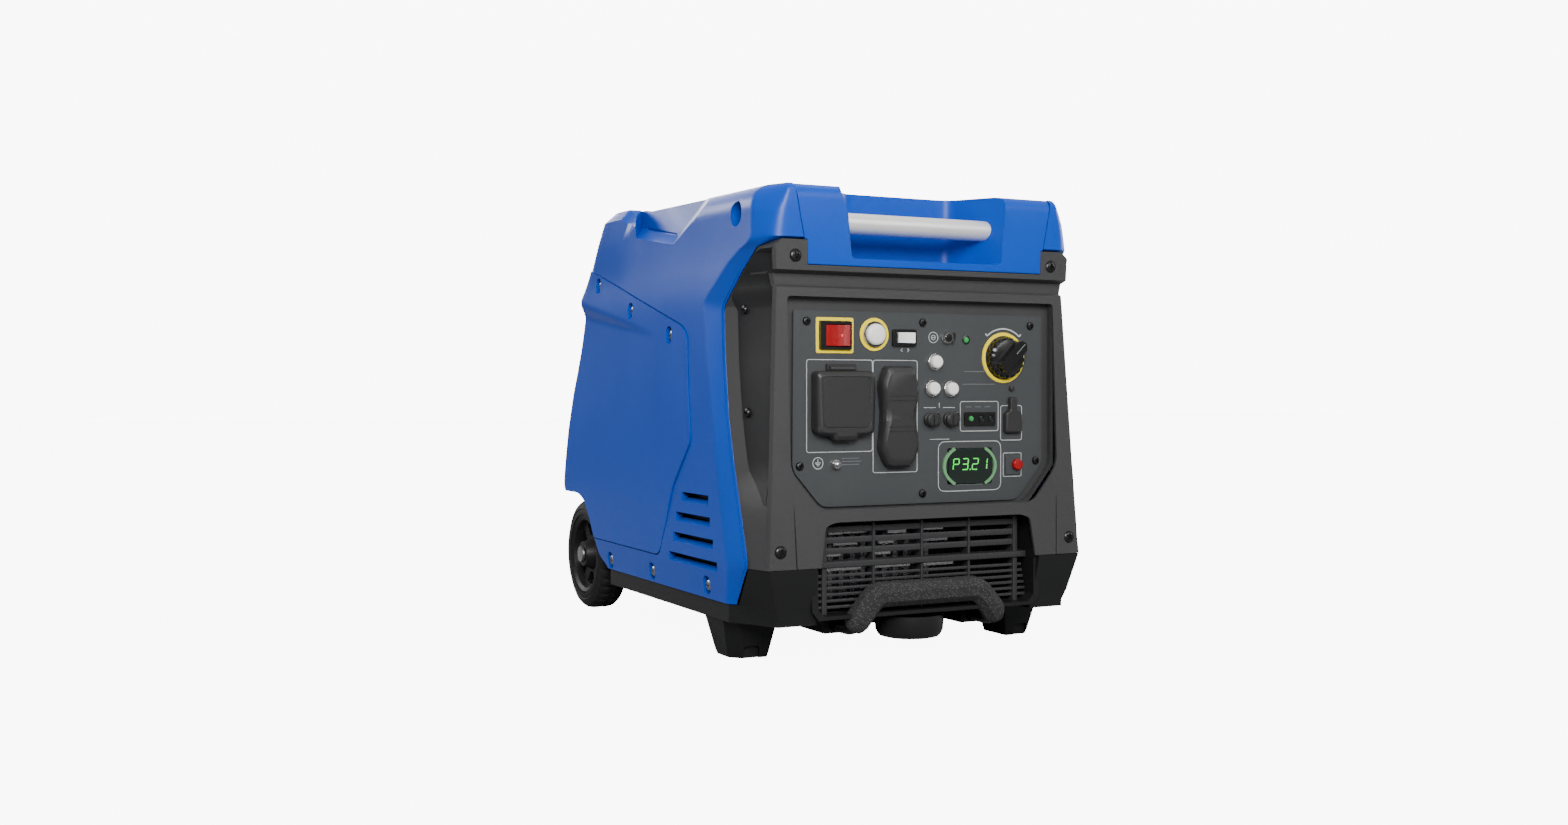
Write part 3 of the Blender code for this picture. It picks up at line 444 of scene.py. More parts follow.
def join(bm, *tools):
    return combine(bm, "UNION", *tools)


def flatten(bm):
    """Merges the coplanar faces a boolean leaves, so that bevels run cleanly."""
    bmesh.ops.remove_doubles(bm, verts=bm.verts, dist=0.01)
    bmesh.ops.dissolve_limit(bm, angle_limit=math.radians(0.6), verts=bm.verts, edges=bm.edges)
    return bm


def piece(name, bm, look, body="machine", bevel=0.0, segments=3, sharp=32, stands_for=()):
    """One finished piece: its mesh in metres, its look, its body and the solids it stands for."""
    slot, made = LOOKS[look]
    for vertex in bm.verts:
        vertex.co *= MM
    mesh = bpy.data.meshes.new(name)
    bm.to_mesh(mesh)
    bm.free()
    obj = bpy.data.objects.new(name, mesh)
    bpy.context.scene.collection.objects.link(obj)
    mesh.materials.append(made)
    mesh.shade_smooth()
    if bevel:
        modifier = obj.modifiers.new("Edges", "BEVEL")
        modifier.width = bevel * MM
        modifier.segments = segments
        modifier.limit_method = "ANGLE"
        modifier.angle_limit = math.radians(28)
        modifier.harden_normals = True
    mesh.set_sharp_from_angle(angle=math.radians(sharp))
    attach(obj, body)
    if stands_for:
        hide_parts(*stands_for)
    return obj


# --- the blue side covers ----------------------------------------------------------------------------


def top_of(y):
    """The deck rises gently to the hand holds, then steps up behind them."""
    return TOP_FRONT + 6 * ramp(y, -280, 20) + (HEIGHT - TOP_FRONT - 6) * soft(y, 98, RIDGE_Y)


def skin_x(y, z):
    """Half width of the side skin at a point of the side view."""
    width = eased(SKIN_HALF_WIDTH, z, 12) + 5 * soft(y, 60, 160) * soft(z, 430, 500)
    back = ramp(y, CREASE_START, 268)
    lowered = back * CREASE_DEPTH * soft(z, 165, 385)
    return width - lowered * (1 - soft(z, 363 + 33 * back, 367 + 55 * back))


def seam_at(z):
    return SEAM_X + 0.4 - 11 * (1 - ramp(z, 462, 520))


def skin_row(z, turn=None, proud=0.0):
    """One level of the left skin, front edge to rear seam. turn is the way over the shoulder, 0 to 1."""

    def shoulder(y):
        """How far in and down the shoulder is here: round at the head, a flat facet at the back."""
        if turn is None:
            return 0.0, 0.0
        flat = ramp(y, 40, 100)
        angle = turn * math.pi / 2
        across = (1 - math.cos(angle)) * (1 - flat) + turn * flat
        down = (1 - math.sin(angle)) * (1 - flat) + (1 - turn) * flat
        reach = [a + (b - a) * flat for a, b in zip(FRONT_SHOULDER, REAR_SHOULDER)]
        return reach[0] * across, reach[1] * down

    def point(x, y, share=1.0):
        level = z if turn is None else top_of(y) - shoulder(y)[1] * share
        return Vector((max(-x - proud, -HALF_WIDTH), y, level))

    def side(y):
        return point(skin_x(y, z) - shoulder(y)[0], y)

    inset, drop = shoulder(FACE_Y)
    level = z if turn is None else top_of(FACE_Y) - drop * FRONT_ROUND
    face = FACE_Y + inset * FRONT_ROUND
    edge, band = eased(BOUNDARY_Y, z, 3), eased(BAND_Y, z, 3)
    width = skin_x(edge, z)
    head = ramp(z, 452, 462)
    body_keys = (point(width - BAND_DEPTH - 3, edge + 7), point(width - BAND_DEPTH, edge), side(band))
    head_keys = (point(seam_at(level), face, FRONT_ROUND), point(eased(HEAD_CORNER, level), face,
                                                                 FRONT_ROUND), side(FACET_Y))
    start, corner, outer = [a.lerp(b, head) for a, b in zip(body_keys, head_keys)]
    rear = eased(REAR_Y, z if turn is None else HEIGHT - REAR_SHOULDER[1] * (1 - turn), 3)
    rounding = [0, min(2.5 + 13 * head, 0.85 * abs(corner.x - start.x)), 4 + 3 * head, 0]
    front = smooth_corners([start, corner, outer, side(outer.y + 9)], rounding, closed=False)
    back = smooth_corners([side(rear - 2 * CORNER), side(rear), point(REAR_SEAM_X, rear)], [0, CORNER, 0],
                          closed=False)
    count = round(84 * FINE)
    y0, y1 = front[-1][1], back[0][1]
    middle = [tuple(side(y0 + (y1 - y0) * k / count)) for k in range(1, count)]
    return front + middle + back


def skin_grid(proud=0.0):
    below, above = round(96 * FINE), round(8 * FINE)
    levels = [65.2 + (452 - 65.2) * k / below for k in range(below)]
    levels += [452, 455, 458, 460, 461.4, 462]
    levels += [462 + 30 * k / above for k in range(1, above + 1)]
    rows = [skin_row(z, None, proud) for z in levels]
    rows += [skin_row(500, k / 7, proud) for k in range(8)]
    return rows


def sheet(grid, thickness):
    """A closed shell: the grid of outer points, thickened inwards along its own normals."""
    rows, columns = len(grid), len(grid[0])
    outer = [[Vector(p) for p in row] for row in grid]

    def normal(i, j):
        up = outer[min(i + 1, rows - 1)][j] - outer[max(i - 1, 0)][j]
        across = outer[i][min(j + 1, columns - 1)] - outer[i][max(j - 1, 0)]
        return up.cross(across).normalized()

    bm = bmesh.new()
    front = [[bm.verts.new(p) for p in row] for row in outer]
    back = [[bm.verts.new(outer[i][j] - normal(i, j) * thickness) for j in range(columns)]
            for i in range(rows)]
    for i in range(rows - 1):
        for j in range(columns - 1):
            bm.faces.new((front[i][j], front[i][j + 1], front[i + 1][j + 1], front[i + 1][j]))
            bm.faces.new((back[i][j], back[i + 1][j], back[i + 1][j + 1], back[i][j + 1]))
    rim = [(0, j) for j in range(columns)] + [(i, columns - 1) for i in range(1, rows)]
    rim += [(rows - 1, j) for j in range(columns - 2, -1, -1)] + [(i, 0) for i in range(rows - 2, 0, -1)]
    for (a, b), (c, d) in zip(rim, rim[1:] + rim[:1]):
        bm.faces.new((front[a][b], back[a][b], back[c][d], front[c][d]))
    bmesh.ops.recalc_face_normals(bm, faces=bm.faces)
    return bm


def skin_sheet(proud=0.0):
    grid = skin_grid(proud)
    if not proud:
        grid.append([(-SEAM_X - 0.4, y, z) for _, y, z in grid[-1]])
    return sheet(grid, WALL)


def skin_solid(proud=0.0):
    """The skin filled in as far as the seam with the top cover."""
    rings = []
    for row in skin_grid(proud):
        (_, y0, z0), (_, y1, z1) = row[0], row[-1]
        rings.append(row + [(-SEAM_X - 0.2, y1 - 0.2, z1), (-SEAM_X - 0.2, y0 + 0.2, z0)])
    return ring_tube(rings)


def trimmed(bm, grow, *planes):
    """What is left of a convex block inside each plane, given by three points and a point kept."""
    for a, b, c, kept in planes:
        a, b, c, kept = Vector(a), Vector(b), Vector(c), Vector(kept)
        normal = (b - a).cross(c - a).normalized()
        if normal.dot(kept - a) > 0:
            normal = -normal
        geometry = bm.verts[:] + bm.edges[:] + bm.faces[:]
        bmesh.ops.bisect_plane(bm, geom=geometry, plane_co=a + normal * grow, plane_no=normal,
                               clear_outer=True)
        bmesh.ops.holes_fill(bm, edges=[e for e in bm.edges if e.is_boundary])
    bmesh.ops.recalc_face_normals(bm, faces=bm.faces)
    return bm


def hand_notch(grow=0.0):
    """The hand hold let into the top edge of the left side, between the head and the raised rear."""
    kept = (-200, 60, 530)
    foot, inner = (-206, -55.5, 471.9), (-183, -16, 488.8)
    floor = (foot, (-206, 58.5, 489.3), inner, kept)
    slope = (foot, (-206, -169, 515.2), inner, kept)
    wall = (inner, (-180, 107, 509.1), (-177, 20, 527), kept)
    ear = ((-206, 64, 490), (-180, 107, 509), (-191, 97, 532), kept)
    return trimmed(box((-260, -230, 440), (-SEAM_X - 4 + grow, 170, 560)), grow, floor, slope, wall, ear)


def notch_groove():
    """The shadow line where the notch's wall meets its floor."""
    return swept([Vector((-183.4, -14, 489)), Vector((-180.9, 92, 506.6))], 2.0, 10)


def stadium(at, half_y, half_z, grow=0.0):
    """An upright slot outline with round ends, on the side."""
    y, z = at
    a, b = half_y + grow, half_z + grow
    return smooth_corners([(y - a, z - b), (y + a, z - b), (y + a, z + b), (y - a, z + b)], a, steps=6)


def screw_pockets(places, half_y, half_z, depth):
    """Cutters for sunk screws in the left side, and the blocks that line them."""
    cutters, liners = [], []
    for y, z in places:
        floor = -skin_x(y, z) + depth
        cutters.append(prism(stadium((y, z), half_y, half_z), 0, SIDE_OUT, floor))
        liners.append(prism(stadium((y, z), half_y, half_z, 2.2), 0, SIDE_OUT, floor + 2.2))
    return cutters, liners


def louvre_cutters():
    """Slots that run in and up over a sloped lower lip, and the blocks that back each lip."""
    cutters, liners = [], []
    for y0, y1, z0, z1 in LOUVRES:
        face = -skin_x((y0 + y1) / 2, z0)
        slot = [(SIDE_OUT, z0 - 5), (face - 0.2, z0 - 3.6), (face + 7, z0 + 0.6), (-180, z0 + 5),
                (-180, z1 + 6), (face + 3, z1 - 0.2), (face - 0.5, z1 + 0.4), (SIDE_OUT, z1 + 1)]
        cutters.append(ring_tube([[(x, y, z) for x, z in slot] for y in (y0, y1)]))
        liners.append(box((SIDE_OUT, y0 - 2, z0 - 9), (face + 8.5, y1 + 2, z0 + 4)))
    return cutters, liners


def screw(radius=5.0, height=3.0):
    """A pan-head screw with a cross recess, its head at the origin and facing -Y."""
    profile = [(0.6, radius), (-height * 0.4, radius), (-height * 0.75, radius * 0.86),
               (-height, radius * 0.5)]
    arm, half = radius * 0.62, radius * 0.13
    head = turned(profile, 1, (0, 0, 0), 28)
    return cut(head, box((-arm, -height - 1, -half), (arm, -height * 0.25, half)),
               box((-half, -height - 1, -arm), (half, -height * 0.25, arm)))


def screws(places, radius, turn=None):
    """Several screws as one mesh, each at its place; turn rotates them away from facing -Y."""
    out = []
    for number, at in enumerate(places):
        bm = screw(radius)
        bm.transform(Matrix.Rotation(math.radians(37 * number), 4, "Y"))
        if turn:
            bm.transform(turn)
        bm.transform(Matrix.Translation(at))
        out.append(bm)
    return merged(*out)


def grown(outline, middle, grow):
    """An outline moved outwards from its middle."""
    middle = Vector(middle)
    arms = [Vector(point) - middle for point in outline]
    return [tuple(middle + arm * (1 + grow / arm.length)) for arm in arms]


def arch_cutter(grow=0.0):
    return prism(smooth_corners(grown(ARCH, (237, 60), grow), 9), 0, -260, SIDE_IN)


def cover_outline(grow=0.0):
    return smooth_corners(grown(COVER_SEAM, (40, 280), grow), COVER_SEAM_RADII)


def side_shell():
    cutters, liners = screw_pockets(LOWER_SCREWS, 9.5, 10.5, 6)
    slots, lips = louvre_cutters()
    y, z, radius = SIDE_HOLE
    hole = disc(0, (0, y, z), radius, SIDE_OUT, -172, 40)
    lining = disc(0, (0, y, z), radius + 2.5, SIDE_OUT, -169.5, 40)
    solid = skin_solid()
    inside = combine(solid, "INTERSECT", merged(hand_notch(5.0), lining, *liners, *lips))
    shell = join(skin_sheet(), inside)
    return cut(shell, arch_cutter(), prism(cover_outline(SEAM_GAP), 0, SIDE_OUT, SIDE_IN), hand_notch(),
               notch_groove(), hole, merged(*cutters), merged(*slots))


def service_cover(with_pocket):
    """The removable cover, standing a little proud; the right one holds the recoil handle's pocket."""
    proud = 1.6
    cutters, liners = screw_pockets(SIDE_SCREWS, 8.5, 10.5, 6)
    if with_pocket:
        y, z = RECOIL
        half_y, half_z = RECOIL_POCKET
        for tools, grow, floor in ((cutters, 0, -197), (liners, 2.5, -194.5)):
            a, b = half_y + grow, half_z + grow
            outline = [(y - a, z - b), (y + a, z - b), (y + a, z + b), (y - a, z + b)]
            tools.append(prism(smooth_corners(outline, 12 + grow, 6), 0, SIDE_OUT, floor))
    inside = combine(skin_solid(proud), "INTERSECT", merged(*liners))
    outline = prism(cover_outline(), 0, SIDE_OUT, SIDE_IN)
    cover = combine(join(skin_sheet(proud), inside), "INTERSECT", outline)
    return cut(cover, arch_cutter(), merged(*cutters))


def seam_backing():
    """A strip behind the line between a side cover and its service cover, which closes the gap."""
    outline = prism(cover_outline(9), 0, SIDE_OUT, SIDE_IN)
    strip = combine(outline, "DIFFERENCE", prism(cover_outline(-9), 0, -245, -145))
    return cut(combine(skin_sheet(-3.2), "INTERSECT", strip), arch_cutter(1.0))


def recessed(places, depth):
    return [(-skin_x(y, z) + depth, y, z) for y, z in places]


def build_sides():
    shell, backing = side_shell(), seam_backing()
    plain = service_cover(False)
    facing = Matrix.Rotation(math.radians(-90), 4, "Z")
    covers = {"left": (shell, plain), "right": (flipped(shell), flipped(service_cover(True)))}
    piece("seam_backings", merged(backing, flipped(backing)), "black")
    for name, (outer, cover) in covers.items():
        piece(f"{name}_shell_moulding", outer, "blue", stands_for=(f"{name}_side_shell",), sharp=34)
        piece(f"{name}_cover_moulding", cover, "blue", stands_for=(f"{name}_service_cover",), sharp=34)
        heads = screws(recessed(SIDE_SCREWS + LOWER_SCREWS, 3.6), 6.2, facing)
        if name == "right":
            heads = flipped(heads)
        piece(f"{name}_side_screws", heads, "steel")


# --- top cover and bars ------------------------------------------------------------------------------

BACK_WALL, REAR_WALL = -226.6, 122.0
FRONT_FLOOR, REAR_FLOOR = 441.0, 464.0
CAP_AT = (0.0, -50.0)
FILLER_HOLE_R = 46.0


def recess(open_y, back_y, floor):
    """A carry-bar recess, narrowing towards its back wall and widening upwards, with round inner corners."""
    out = math.copysign(40, open_y - back_y)
    rings = []
    for z, half_open, half_back in ((floor, 98, 68), (floor + 2.5, 98.5, 69), (490, 103, 70), (540, 116, 71)):
        spread = (half_open - half_back) / abs(open_y - back_y)
        front_half = half_open + spread * abs(out)
        inset = 2.5 if z == floor else 0.0
        back = back_y + math.copysign(inset, out)
        corners = [(-front_half + inset, open_y + out), (front_half - inset, open_y + out),
                   (half_back - inset, back), (-half_back + inset, back)]
        rings.append([(x, y, z) for x, y in smooth_corners(corners, [0.1, 0.1, 14, 14], 6)])
    return ring_tube(rings)


def build_top_cover():
    half = SEAM_X - 0.35
    step = [(y, top_of(y)) for y in (20, 98, 101, 104, 107, RIDGE_Y)]
    outline = [(FACE_Y, 433), (FACE_Y, TOP_FRONT), *step, (161, HEIGHT), (172, 524), (194, 500), (231, 458.5),
               (-218, 458.5), (-222, 433)]
    outline = smooth_corners(outline, [1, 16] + [0.1] * 6 + [5, 6, 22, 2, 1, 1], 7)
    x, y = CAP_AT
    cover = cut(prism(outline, 0, -half, half), recess(FACE_Y, BACK_WALL, FRONT_FLOOR),
                recess(190, REAR_WALL, REAR_FLOOR), disc(2, (x, y, 0), FILLER_HOLE_R, 440, 540, 64))
    for bar_y, bar_z in (FRONT_BAR, REAR_BAR):
        cover = cut(cover, disc(0, (0, bar_y, bar_z), BAR_R + 0.4, -BAR_HALF - 2, BAR_HALF + 2, 36))
    for side in (1, -1):
        ear = [(side * v, z) for v, z in ((200, 430), (200, 460), (152.8, 460), (152.2, 430))]
        wedge = [(side * v, z) for v, z in ((152.8, 455), (seam_at(462) - 0.9, 462),
                                            (seam_at(520) - 0.9, 520.6), (SEAM_X + 5, 540),
                                            (SEAM_X + 5, 455))]
        cover = cut(cover, prism(ear, 1, FACE_Y - 5, FACE_Y + 20), prism(wedge, 1, FACE_Y - 5, FACE_Y + 24.5))
    piece("top_cover_moulding", flatten(cover), "blue", bevel=1.6, stands_for=("top_cover",))


def build_bars():
    for name, (y, z) in (("front", FRONT_BAR), ("rear", REAR_BAR)):
        grooved = [(-BAR_HALF, BAR_R - 1.5), (1.5 - BAR_HALF, BAR_R), (8 - BAR_HALF, BAR_R),
                   (8.6 - BAR_HALF, BAR_R - 0.6), (9.6 - BAR_HALF, BAR_R - 0.6), (10.2 - BAR_HALF, BAR_R)]
        grooved += [(-x, r) for x, r in reversed(grooved)]
        piece(f"{name}_bar_tube", turned(grooved, 0, (0, y, z), 64), "bar", stands_for=(f"{name}_carry_bar",))


def build_fuel_cap():
    x, y = CAP_AT
    ribbed = [(505, 28), (506, 34.9), (517, 35.6), (519.5, 34), (520.4, 30), (519.2, 28.5), (519.2, 12)]

    def rib(angle, radius, level):
        return radius - (1.3 if radius > 33 and math.sin(angle * 24) > 0 else 0)

    piece("fuel_cap_moulding", turned(ribbed, 2, (x, y, 0), 192, shape=rib), "black", "fuel_cap",
          stands_for=("fuel_cap",))
    lever = smooth_corners([(x - 9, y - 9), (x + 9, y - 9), (x + 24, y - 4), (x + 24, y + 4), (x + 9, y + 9),
                            (x - 9, y + 9)], 4)
    piece("cap_vent_handle", prism(lever, 2, 520.2, 525.8), "gloss_black", "cap_vent_lever", bevel=1.2,
          stands_for=("cap_vent_lever",))
    collar = [(500.8, 27), (500.8, 45.6), (528, 45.8), (528, 43.6), (502.4, 43.2), (502.4, 27)]
    piece("filler_well_ring", turned(collar, 2, (x, y, 0), 64, hollow=True), "black")


# --- front frame -------------------------------------------------------------------------------------

BEZEL_ROWS = (  # z, half width of the main face, its y
    (107.4, 203, -308.4), (126, 201, -307.6), (150, 200, -306.5), (168, 199, -305.4),
    (176, 198.7, -305), (186, 198.2, -304.6), (198, 197.5, -304.2), (210, 196.7, -303.4),
    (222, 196, -302.8), (271, 194, -300.4), (330, 191, -297.6), (386, 188.2, -294.9),
    (391, 188, -294.7), (397, 187.7, -294.4), (403, 187.3, -294.1), (408.5, 187, -293.8),
    (411, 187, -289.5), (423, 189.5, -289.5), (426.5, 189.8, FACE_Y), (440, 190.5, FACE_Y),
    (446, 190.5, FACE_Y), (449.5, 190.5, FACE_Y), (452, 190.5, FACE_Y), (459.2, 183.5, FACE_Y),
)
RIM_OUTLINE = [(174.6, 399), (174.8, 211.5), (139.7, 168.9)]
FLANGE_HOLE = [(158, 379), (160, 214), (127, 177)]
PANEL_OUTLINE = [(163.2, 384.4), (164.5, 212), (129, 171)]
GRILLE_OPENING = [(122, 155.5), (134, 151), (135.6, 141), (141, 104)]
BEZEL_SCREWS = ((167.4, FACE_Y + 1.6, 441.7), (189, -305.6, 126.3))


def bezel_row(z, half, y):
    """Right half of one level: main face, the wing let in behind it, and the strip beside the cover."""
    edge = eased(BOUNDARY_Y, z, 3) + 0.4
    rim = skin_x(edge, z) - BAND_DEPTH - 1.0
    if z > 452:
        return [(60, y), (half, y), (half + 0.2, y + 2), (half + 0.3, y + 4), (half + 0.4, y + 6),
                (half + 0.4, y + 8)]
    if z > 447:
        return [(60, y), (half, y), (half + 2.5, y + 2), (half + 4, y + 5), (rim - 0.8, edge - 7),
                (rim, edge)]
    opened = ramp(z, 170, 212)
    depth = 7.0 * opened
    strip = 10.0 * (1 - ramp(z, 388, 402)) + 1.0
    low = Vector((half + 3.5, y + 8))
    high = Vector((rim - strip, edge - strip))
    return [(60, y), (half, y), (half + 3, y + 4), (half + 3.5 - depth, y + 6 + depth),
            tuple(low.lerp(high, opened)), (rim, edge)]


def wing_screws():
    """Screws sunk in the dark wings, facing out to the side."""
    out = []
    for z, half, face in ((387, 188.2, -294.9), (273.5, 194, -300.4)):
        _, _, _, low, high, _ = bezel_row(z, half, face)
        spot = Vector(low).lerp(Vector(high), 0.78)
        head = screw(5.4, 4.0)
        head.transform(Matrix.Rotation(math.radians(90), 4, "Z"))
        head.transform(Matrix.Translation((spot.x + 0.4, spot.y, z)))
        out.append(head)
    return merged(*out)


def build_bezel():
    grid = []
    for z, half, y in BEZEL_ROWS:
        right = bezel_row(z, half, y)
        points = list(reversed(right)) + [(-x, v) for x, v in right]
        grid.append([(x, v, z) for x, v in points])
    bezel = sheet(grid, WALL)
    lining = prism(mirrored([(177.6, 402), (177.8, 210.5), (141, 166)]), 1, -291, PANEL_BACK + 3)
    bezel = join(bezel, lining)
    rounded_rim = smooth_corners(mirrored(RIM_OUTLINE), [5, 12, 12, 12, 12, 5], 5)
    opening = smooth_corners(mirrored(GRILLE_OPENING), [9, 8, 2, 0.1, 0.1, 2, 8, 9], 5)
    holes = [prism(rounded_rim, 1, -330, PANEL_BACK + 0.4), prism(mirrored(FLANGE_HOLE), 1, -330, -250),
             box((-152.8, -330, 432.4), (152.8, -250, 470)), prism(opening, 1, -330, -250)]
    for side in (1, -1):
        for x, y, z in BEZEL_SCREWS:
            holes.append(disc(1, (side * x, 0, z), 7.2, y - 20, y, 28))
        holes.append(prism([(side * v, z) for v, z in ((171.6, 175), (172.9, 175), (170.6, 104),
                                                       (169.2, 104))], 1, -330, -304.4))
    piece("front_frame", flatten(cut(bezel, *holes)), "grey", bevel=1.8, segments=3,
          stands_for=("front_bezel",), sharp=40)
    heads = []
    for side in (1, -1):
        heads += [(side * x, y - 0.2, z) for x, y, z in BEZEL_SCREWS]
    wings = wing_screws()
    # Thin liners over the floor of each recessed wing, in the darker wing grey: painted shade.
    rings = []
    for z, half, y in BEZEL_ROWS[4:-3]:
        _, _, _, low, high, _ = bezel_row(z, half, y)
        rings.append([(low[0] - 2, low[1] + 1.5, z), (low[0] + 0.5, low[1] + 0.5, z),
                      (high[0] + 0.6, high[1] - 0.6, z), (high[0] - 2, high[1] - 0.6, z)])
    liner = ring_tube(rings)
    piece("wing_shade_liners", merged(liner, flipped(liner)), "wing")
    piece("front_frame_screws", merged(screws(heads, 6.4), wings, flipped(wings)), "dark_steel")


def build_grille():
    """Broad slats above a wide bar, thin ones below it, upright ribs behind and a dark duct round all."""
    parts = []
    for z, thick in [(146, 3.4), (134.2, 3.4), (122.4, 3.4)] + [(95.6 - 6.9 * k, 1.7) for k in range(6)]:
        half = 124 + (152 - z) * 0.2
        profile = smooth_corners([(-287, z - thick), (-277, z - thick - 0.4), (-277, z + thick - 0.8),
                                  (-287, z + thick)], 0.9, 2)
        parts.append(prism(profile, 0, -half, half))
    bar = smooth_corners([(-291, 104.2), (-277, 103), (-277, 112), (-291, 111.4)], 1.5, 3)
    parts.append(prism(bar, 0, -139, 139))
    for x in (-126, -64, -1, 62, 126):
        half = 3.0 if abs(x) > 100 else 1.5
        outline = smooth_corners([(x - half, -288.4), (x + half, -288.4), (x + half, -272), (x - half, -272)],
                                 0.5, 2)
        parts.append(prism(outline, 2, 52, 152))
    piece("grille_slats", join(*parts), "grille", stands_for=("front_grille",))
    outer = mirrored([(131, 158), (145.5, 154), (149, 141), (149, 60), (141, 50)])
    inner = mirrored([(127, 154.5), (141, 150), (141.5, 141), (141.5, 62), (134, 54)])
    duct = cut(prism(outer, 1, -303, -258), prism(inner, 1, -310, -250))
    piece("grille_duct", merged(duct, box((26, -262, 54), (142, -259, 156))), "black")
    strips = []
    for x, z, half in ((-104, 140.6, 9), (-74, 141.2, 20), (-25, 139.6, 12), (20, 141, 16), (-92, 128.6, 15),
                       (-40, 128.2, 10), (24, 128.4, 18), (-108, 116.8, 10), (-50, 116.2, 16),
                       (-96, 100.6, 24),
                       (-34, 101.2, 26), (30, 100.4, 20)):
        strips.append(prism([(-274, z - 1.6), (-271, z - 2.2), (-271, z + 2), (-274, z + 1.4)], 0, x - half,
                            x + half))
    piece("heat_sink_fins", merged(*strips), "bright_fin")


def build_rear_cover():
    levels = [z for z, _ in REAR_Y if 160 < z < 455]
    outer = [(along(REAR_Y, 158.0), 158.0)] + [(along(REAR_Y, z), z) for z in levels]
    outer.append((along(REAR_Y, 457.5), 457.5))
    inner = [(y - WALL, z) for y, z in reversed(outer)]
    half = REAR_SEAM_X - 0.5
    cover = prism(outer + inner, 0, -half, half)
    cover = cut(cover, disc(1, EXHAUST_AT, 22, 250, 330, 40))
    slots = []
    for row in range(8):
        z = 190 + row * 16
        slots.append(rounded_box((-8, 250, z), (128, 330, z + 7), 3))
    for row in range(3):
        z = 386 + row * 12
        slots.append(rounded_box((-120, 200, z), (120, 330, z + 5), 2))
    piece("rear_panel_moulding", flatten(cut(cover, merged(*slots))), "grey", bevel=1.0,
          stands_for=("rear_cover",))
    spots = [(side * 155, along(REAR_Y, z) - 2.2, z) for side in (1, -1) for z in (180, 300, 400)]
    piece("rear_panel_screws", screws(spots, 5.0, Matrix.Rotation(math.pi, 4, "Z")), "dark_steel")
    ring = [(262, 15.6), (262, 18), (306, 18), (308.5, 19.6), (309.6, 18.4), (309.6, 16.6), (306, 15.6)]
    piece("exhaust_pipe", turned(ring, 1, EXHAUST_AT, 48, hollow=True), "steel",
          stands_for=("exhaust_outlet",))
    x, _, z = EXHAUST_AT
    mesh = []
    for k in range(-3, 4):
        reach = math.sqrt(15.8 ** 2 - (4.4 * k) ** 2)
        wire_x, wire_z = x + 4.4 * k, z + 4.4 * k
        mesh.append(box((wire_x - 0.5, 304, z - reach), (wire_x + 0.5, 305, z + reach)))
        mesh.append(box((x - reach, 304.2, wire_z - 0.5), (x + reach, 305.2, wire_z + 0.5)))
    piece("spark_screen", merged(*mesh), "dark_steel")


def build_baffles():
    """Dark sheets behind the side slots and the rear slots, so that no light shows through the case."""
    y0, y1 = min(slot[0] for slot in LOUVRES) - 6, max(slot[1] for slot in LOUVRES) + 6
    sides = [side_box(side, (204.5, y0, 94), (206, y1, 188)) for side in (1, -1)]
    line = [(along(REAR_Y, z), z) for z in (176, 243, 294, 354, 397, 421)]
    rear = prism([(y - 14, z) for y, z in line] + [(y - 15.5, z) for y, z in reversed(line)], 0, -150, 160)
    rear = cut(rear, disc(1, EXHAUST_AT, 20.5, 200, 330, 40))
    piece("inner_baffles", merged(rear, *sides), "black")


# --- base, feet and running gear ---------------------------------------------------------------------


def build_base():
    plan = mirrored([(141, -262), (141, -296), (187, -296), (200.5, -262), (216.5, -236), (216.5, 131),
                     (168, 131), (168, 289)])
    tray = prism(plan, 2, 44.6, 64.6)
    tray = cut(tray, prism(mirrored([(206, -235), (206, 122), (160, 122), (160, 283)]), 2, 49, 80))
    for side in (1, -1):
        rings = []
        for z, points in ((45.2, [(142, -295), (184, -295), (202, -238), (192, -242), (142, -255)]),
                          (65, [(143.2, -300.8), (191, -300.8), (209.2, -246.4), (198, -250), (143, -262)]),
                          (106.8, [(146, -308.4), (202.4, -308.4), (213, -278.4), (203, -275), (146, -284)])):
            rings.append([(side * x, y, z) for x, y in points])
        tray = join(tray, ring_tube(rings), side_box(side, (150, 218, 47), (158, 256, 92)),
                    side_box(side, (76, -251, 26), (106, 118, 46)))
    pan = ring_tube([[(-60, -205, 26), (60, -205, 26), (60, 100, 26), (-60, 100, 26)],
                     [(-68, -215, 46), (68, -215, 46), (68, 110, 46), (-68, 110, 46)]])
    tray = join(tray, pan, box((-142, -279, 45), (142, -258, 55)), box((-158, 284, 60), (158, 287.5, 156)))
    for side in (1, -1):
        tray = cut(tray, disc(1, (side * TOW_X, 0, TOW_Z), 8.6, -260, 130, 24))
    tray = cut(tray, disc(0, (0, WHEEL_Y, AXLE_Z), AXLE_R + 0.4, -170, 170, 24))
    piece("base_moulding", flatten(tray), "black", bevel=2.2, stands_for=("base_tray",))
    for name, side in (("left", -1), ("right", 1)):
        rings = []
        for z, x0, x1, y0, y1 in ((44.3, 153, 213, -229, -164), (6, 160.4, 204, -221, -172),
                                  (0, 161.8, 202, -219, -174)):
            outline = [(x0, y0), (x1 - 12, y0), (x1, y0 + 16), (x1, y1), (x0, y1)]
            rings.append([(side * x, y, z) for x, y in outline])
        foot = cut(ring_tube(rings), rounded_box((min(side * 172, side * 192), -240, -5),
                                                 (max(side * 172, side * 192), -216.5, 14), 4))
        piece(f"{name}_foot", flatten(foot), "black", bevel=2.0, stands_for=(f"front_foot_{name}",))
    drum = [(18, 30), (19, 34), (21, 36), (26, 38.6), (40, 40), (44.2, 40), (44.2, 10)]
    ringed = turned(drum, 2, ROUND_COVER_AT, 64)
    groove = turned([(15, 29), (19.4, 29), (19.4, 24), (15, 24)], 2, ROUND_COVER_AT, 64, hollow=True)
    piece("round_cover", cut(ringed, groove), "gloss_black", stands_for=("round_base_cover",))


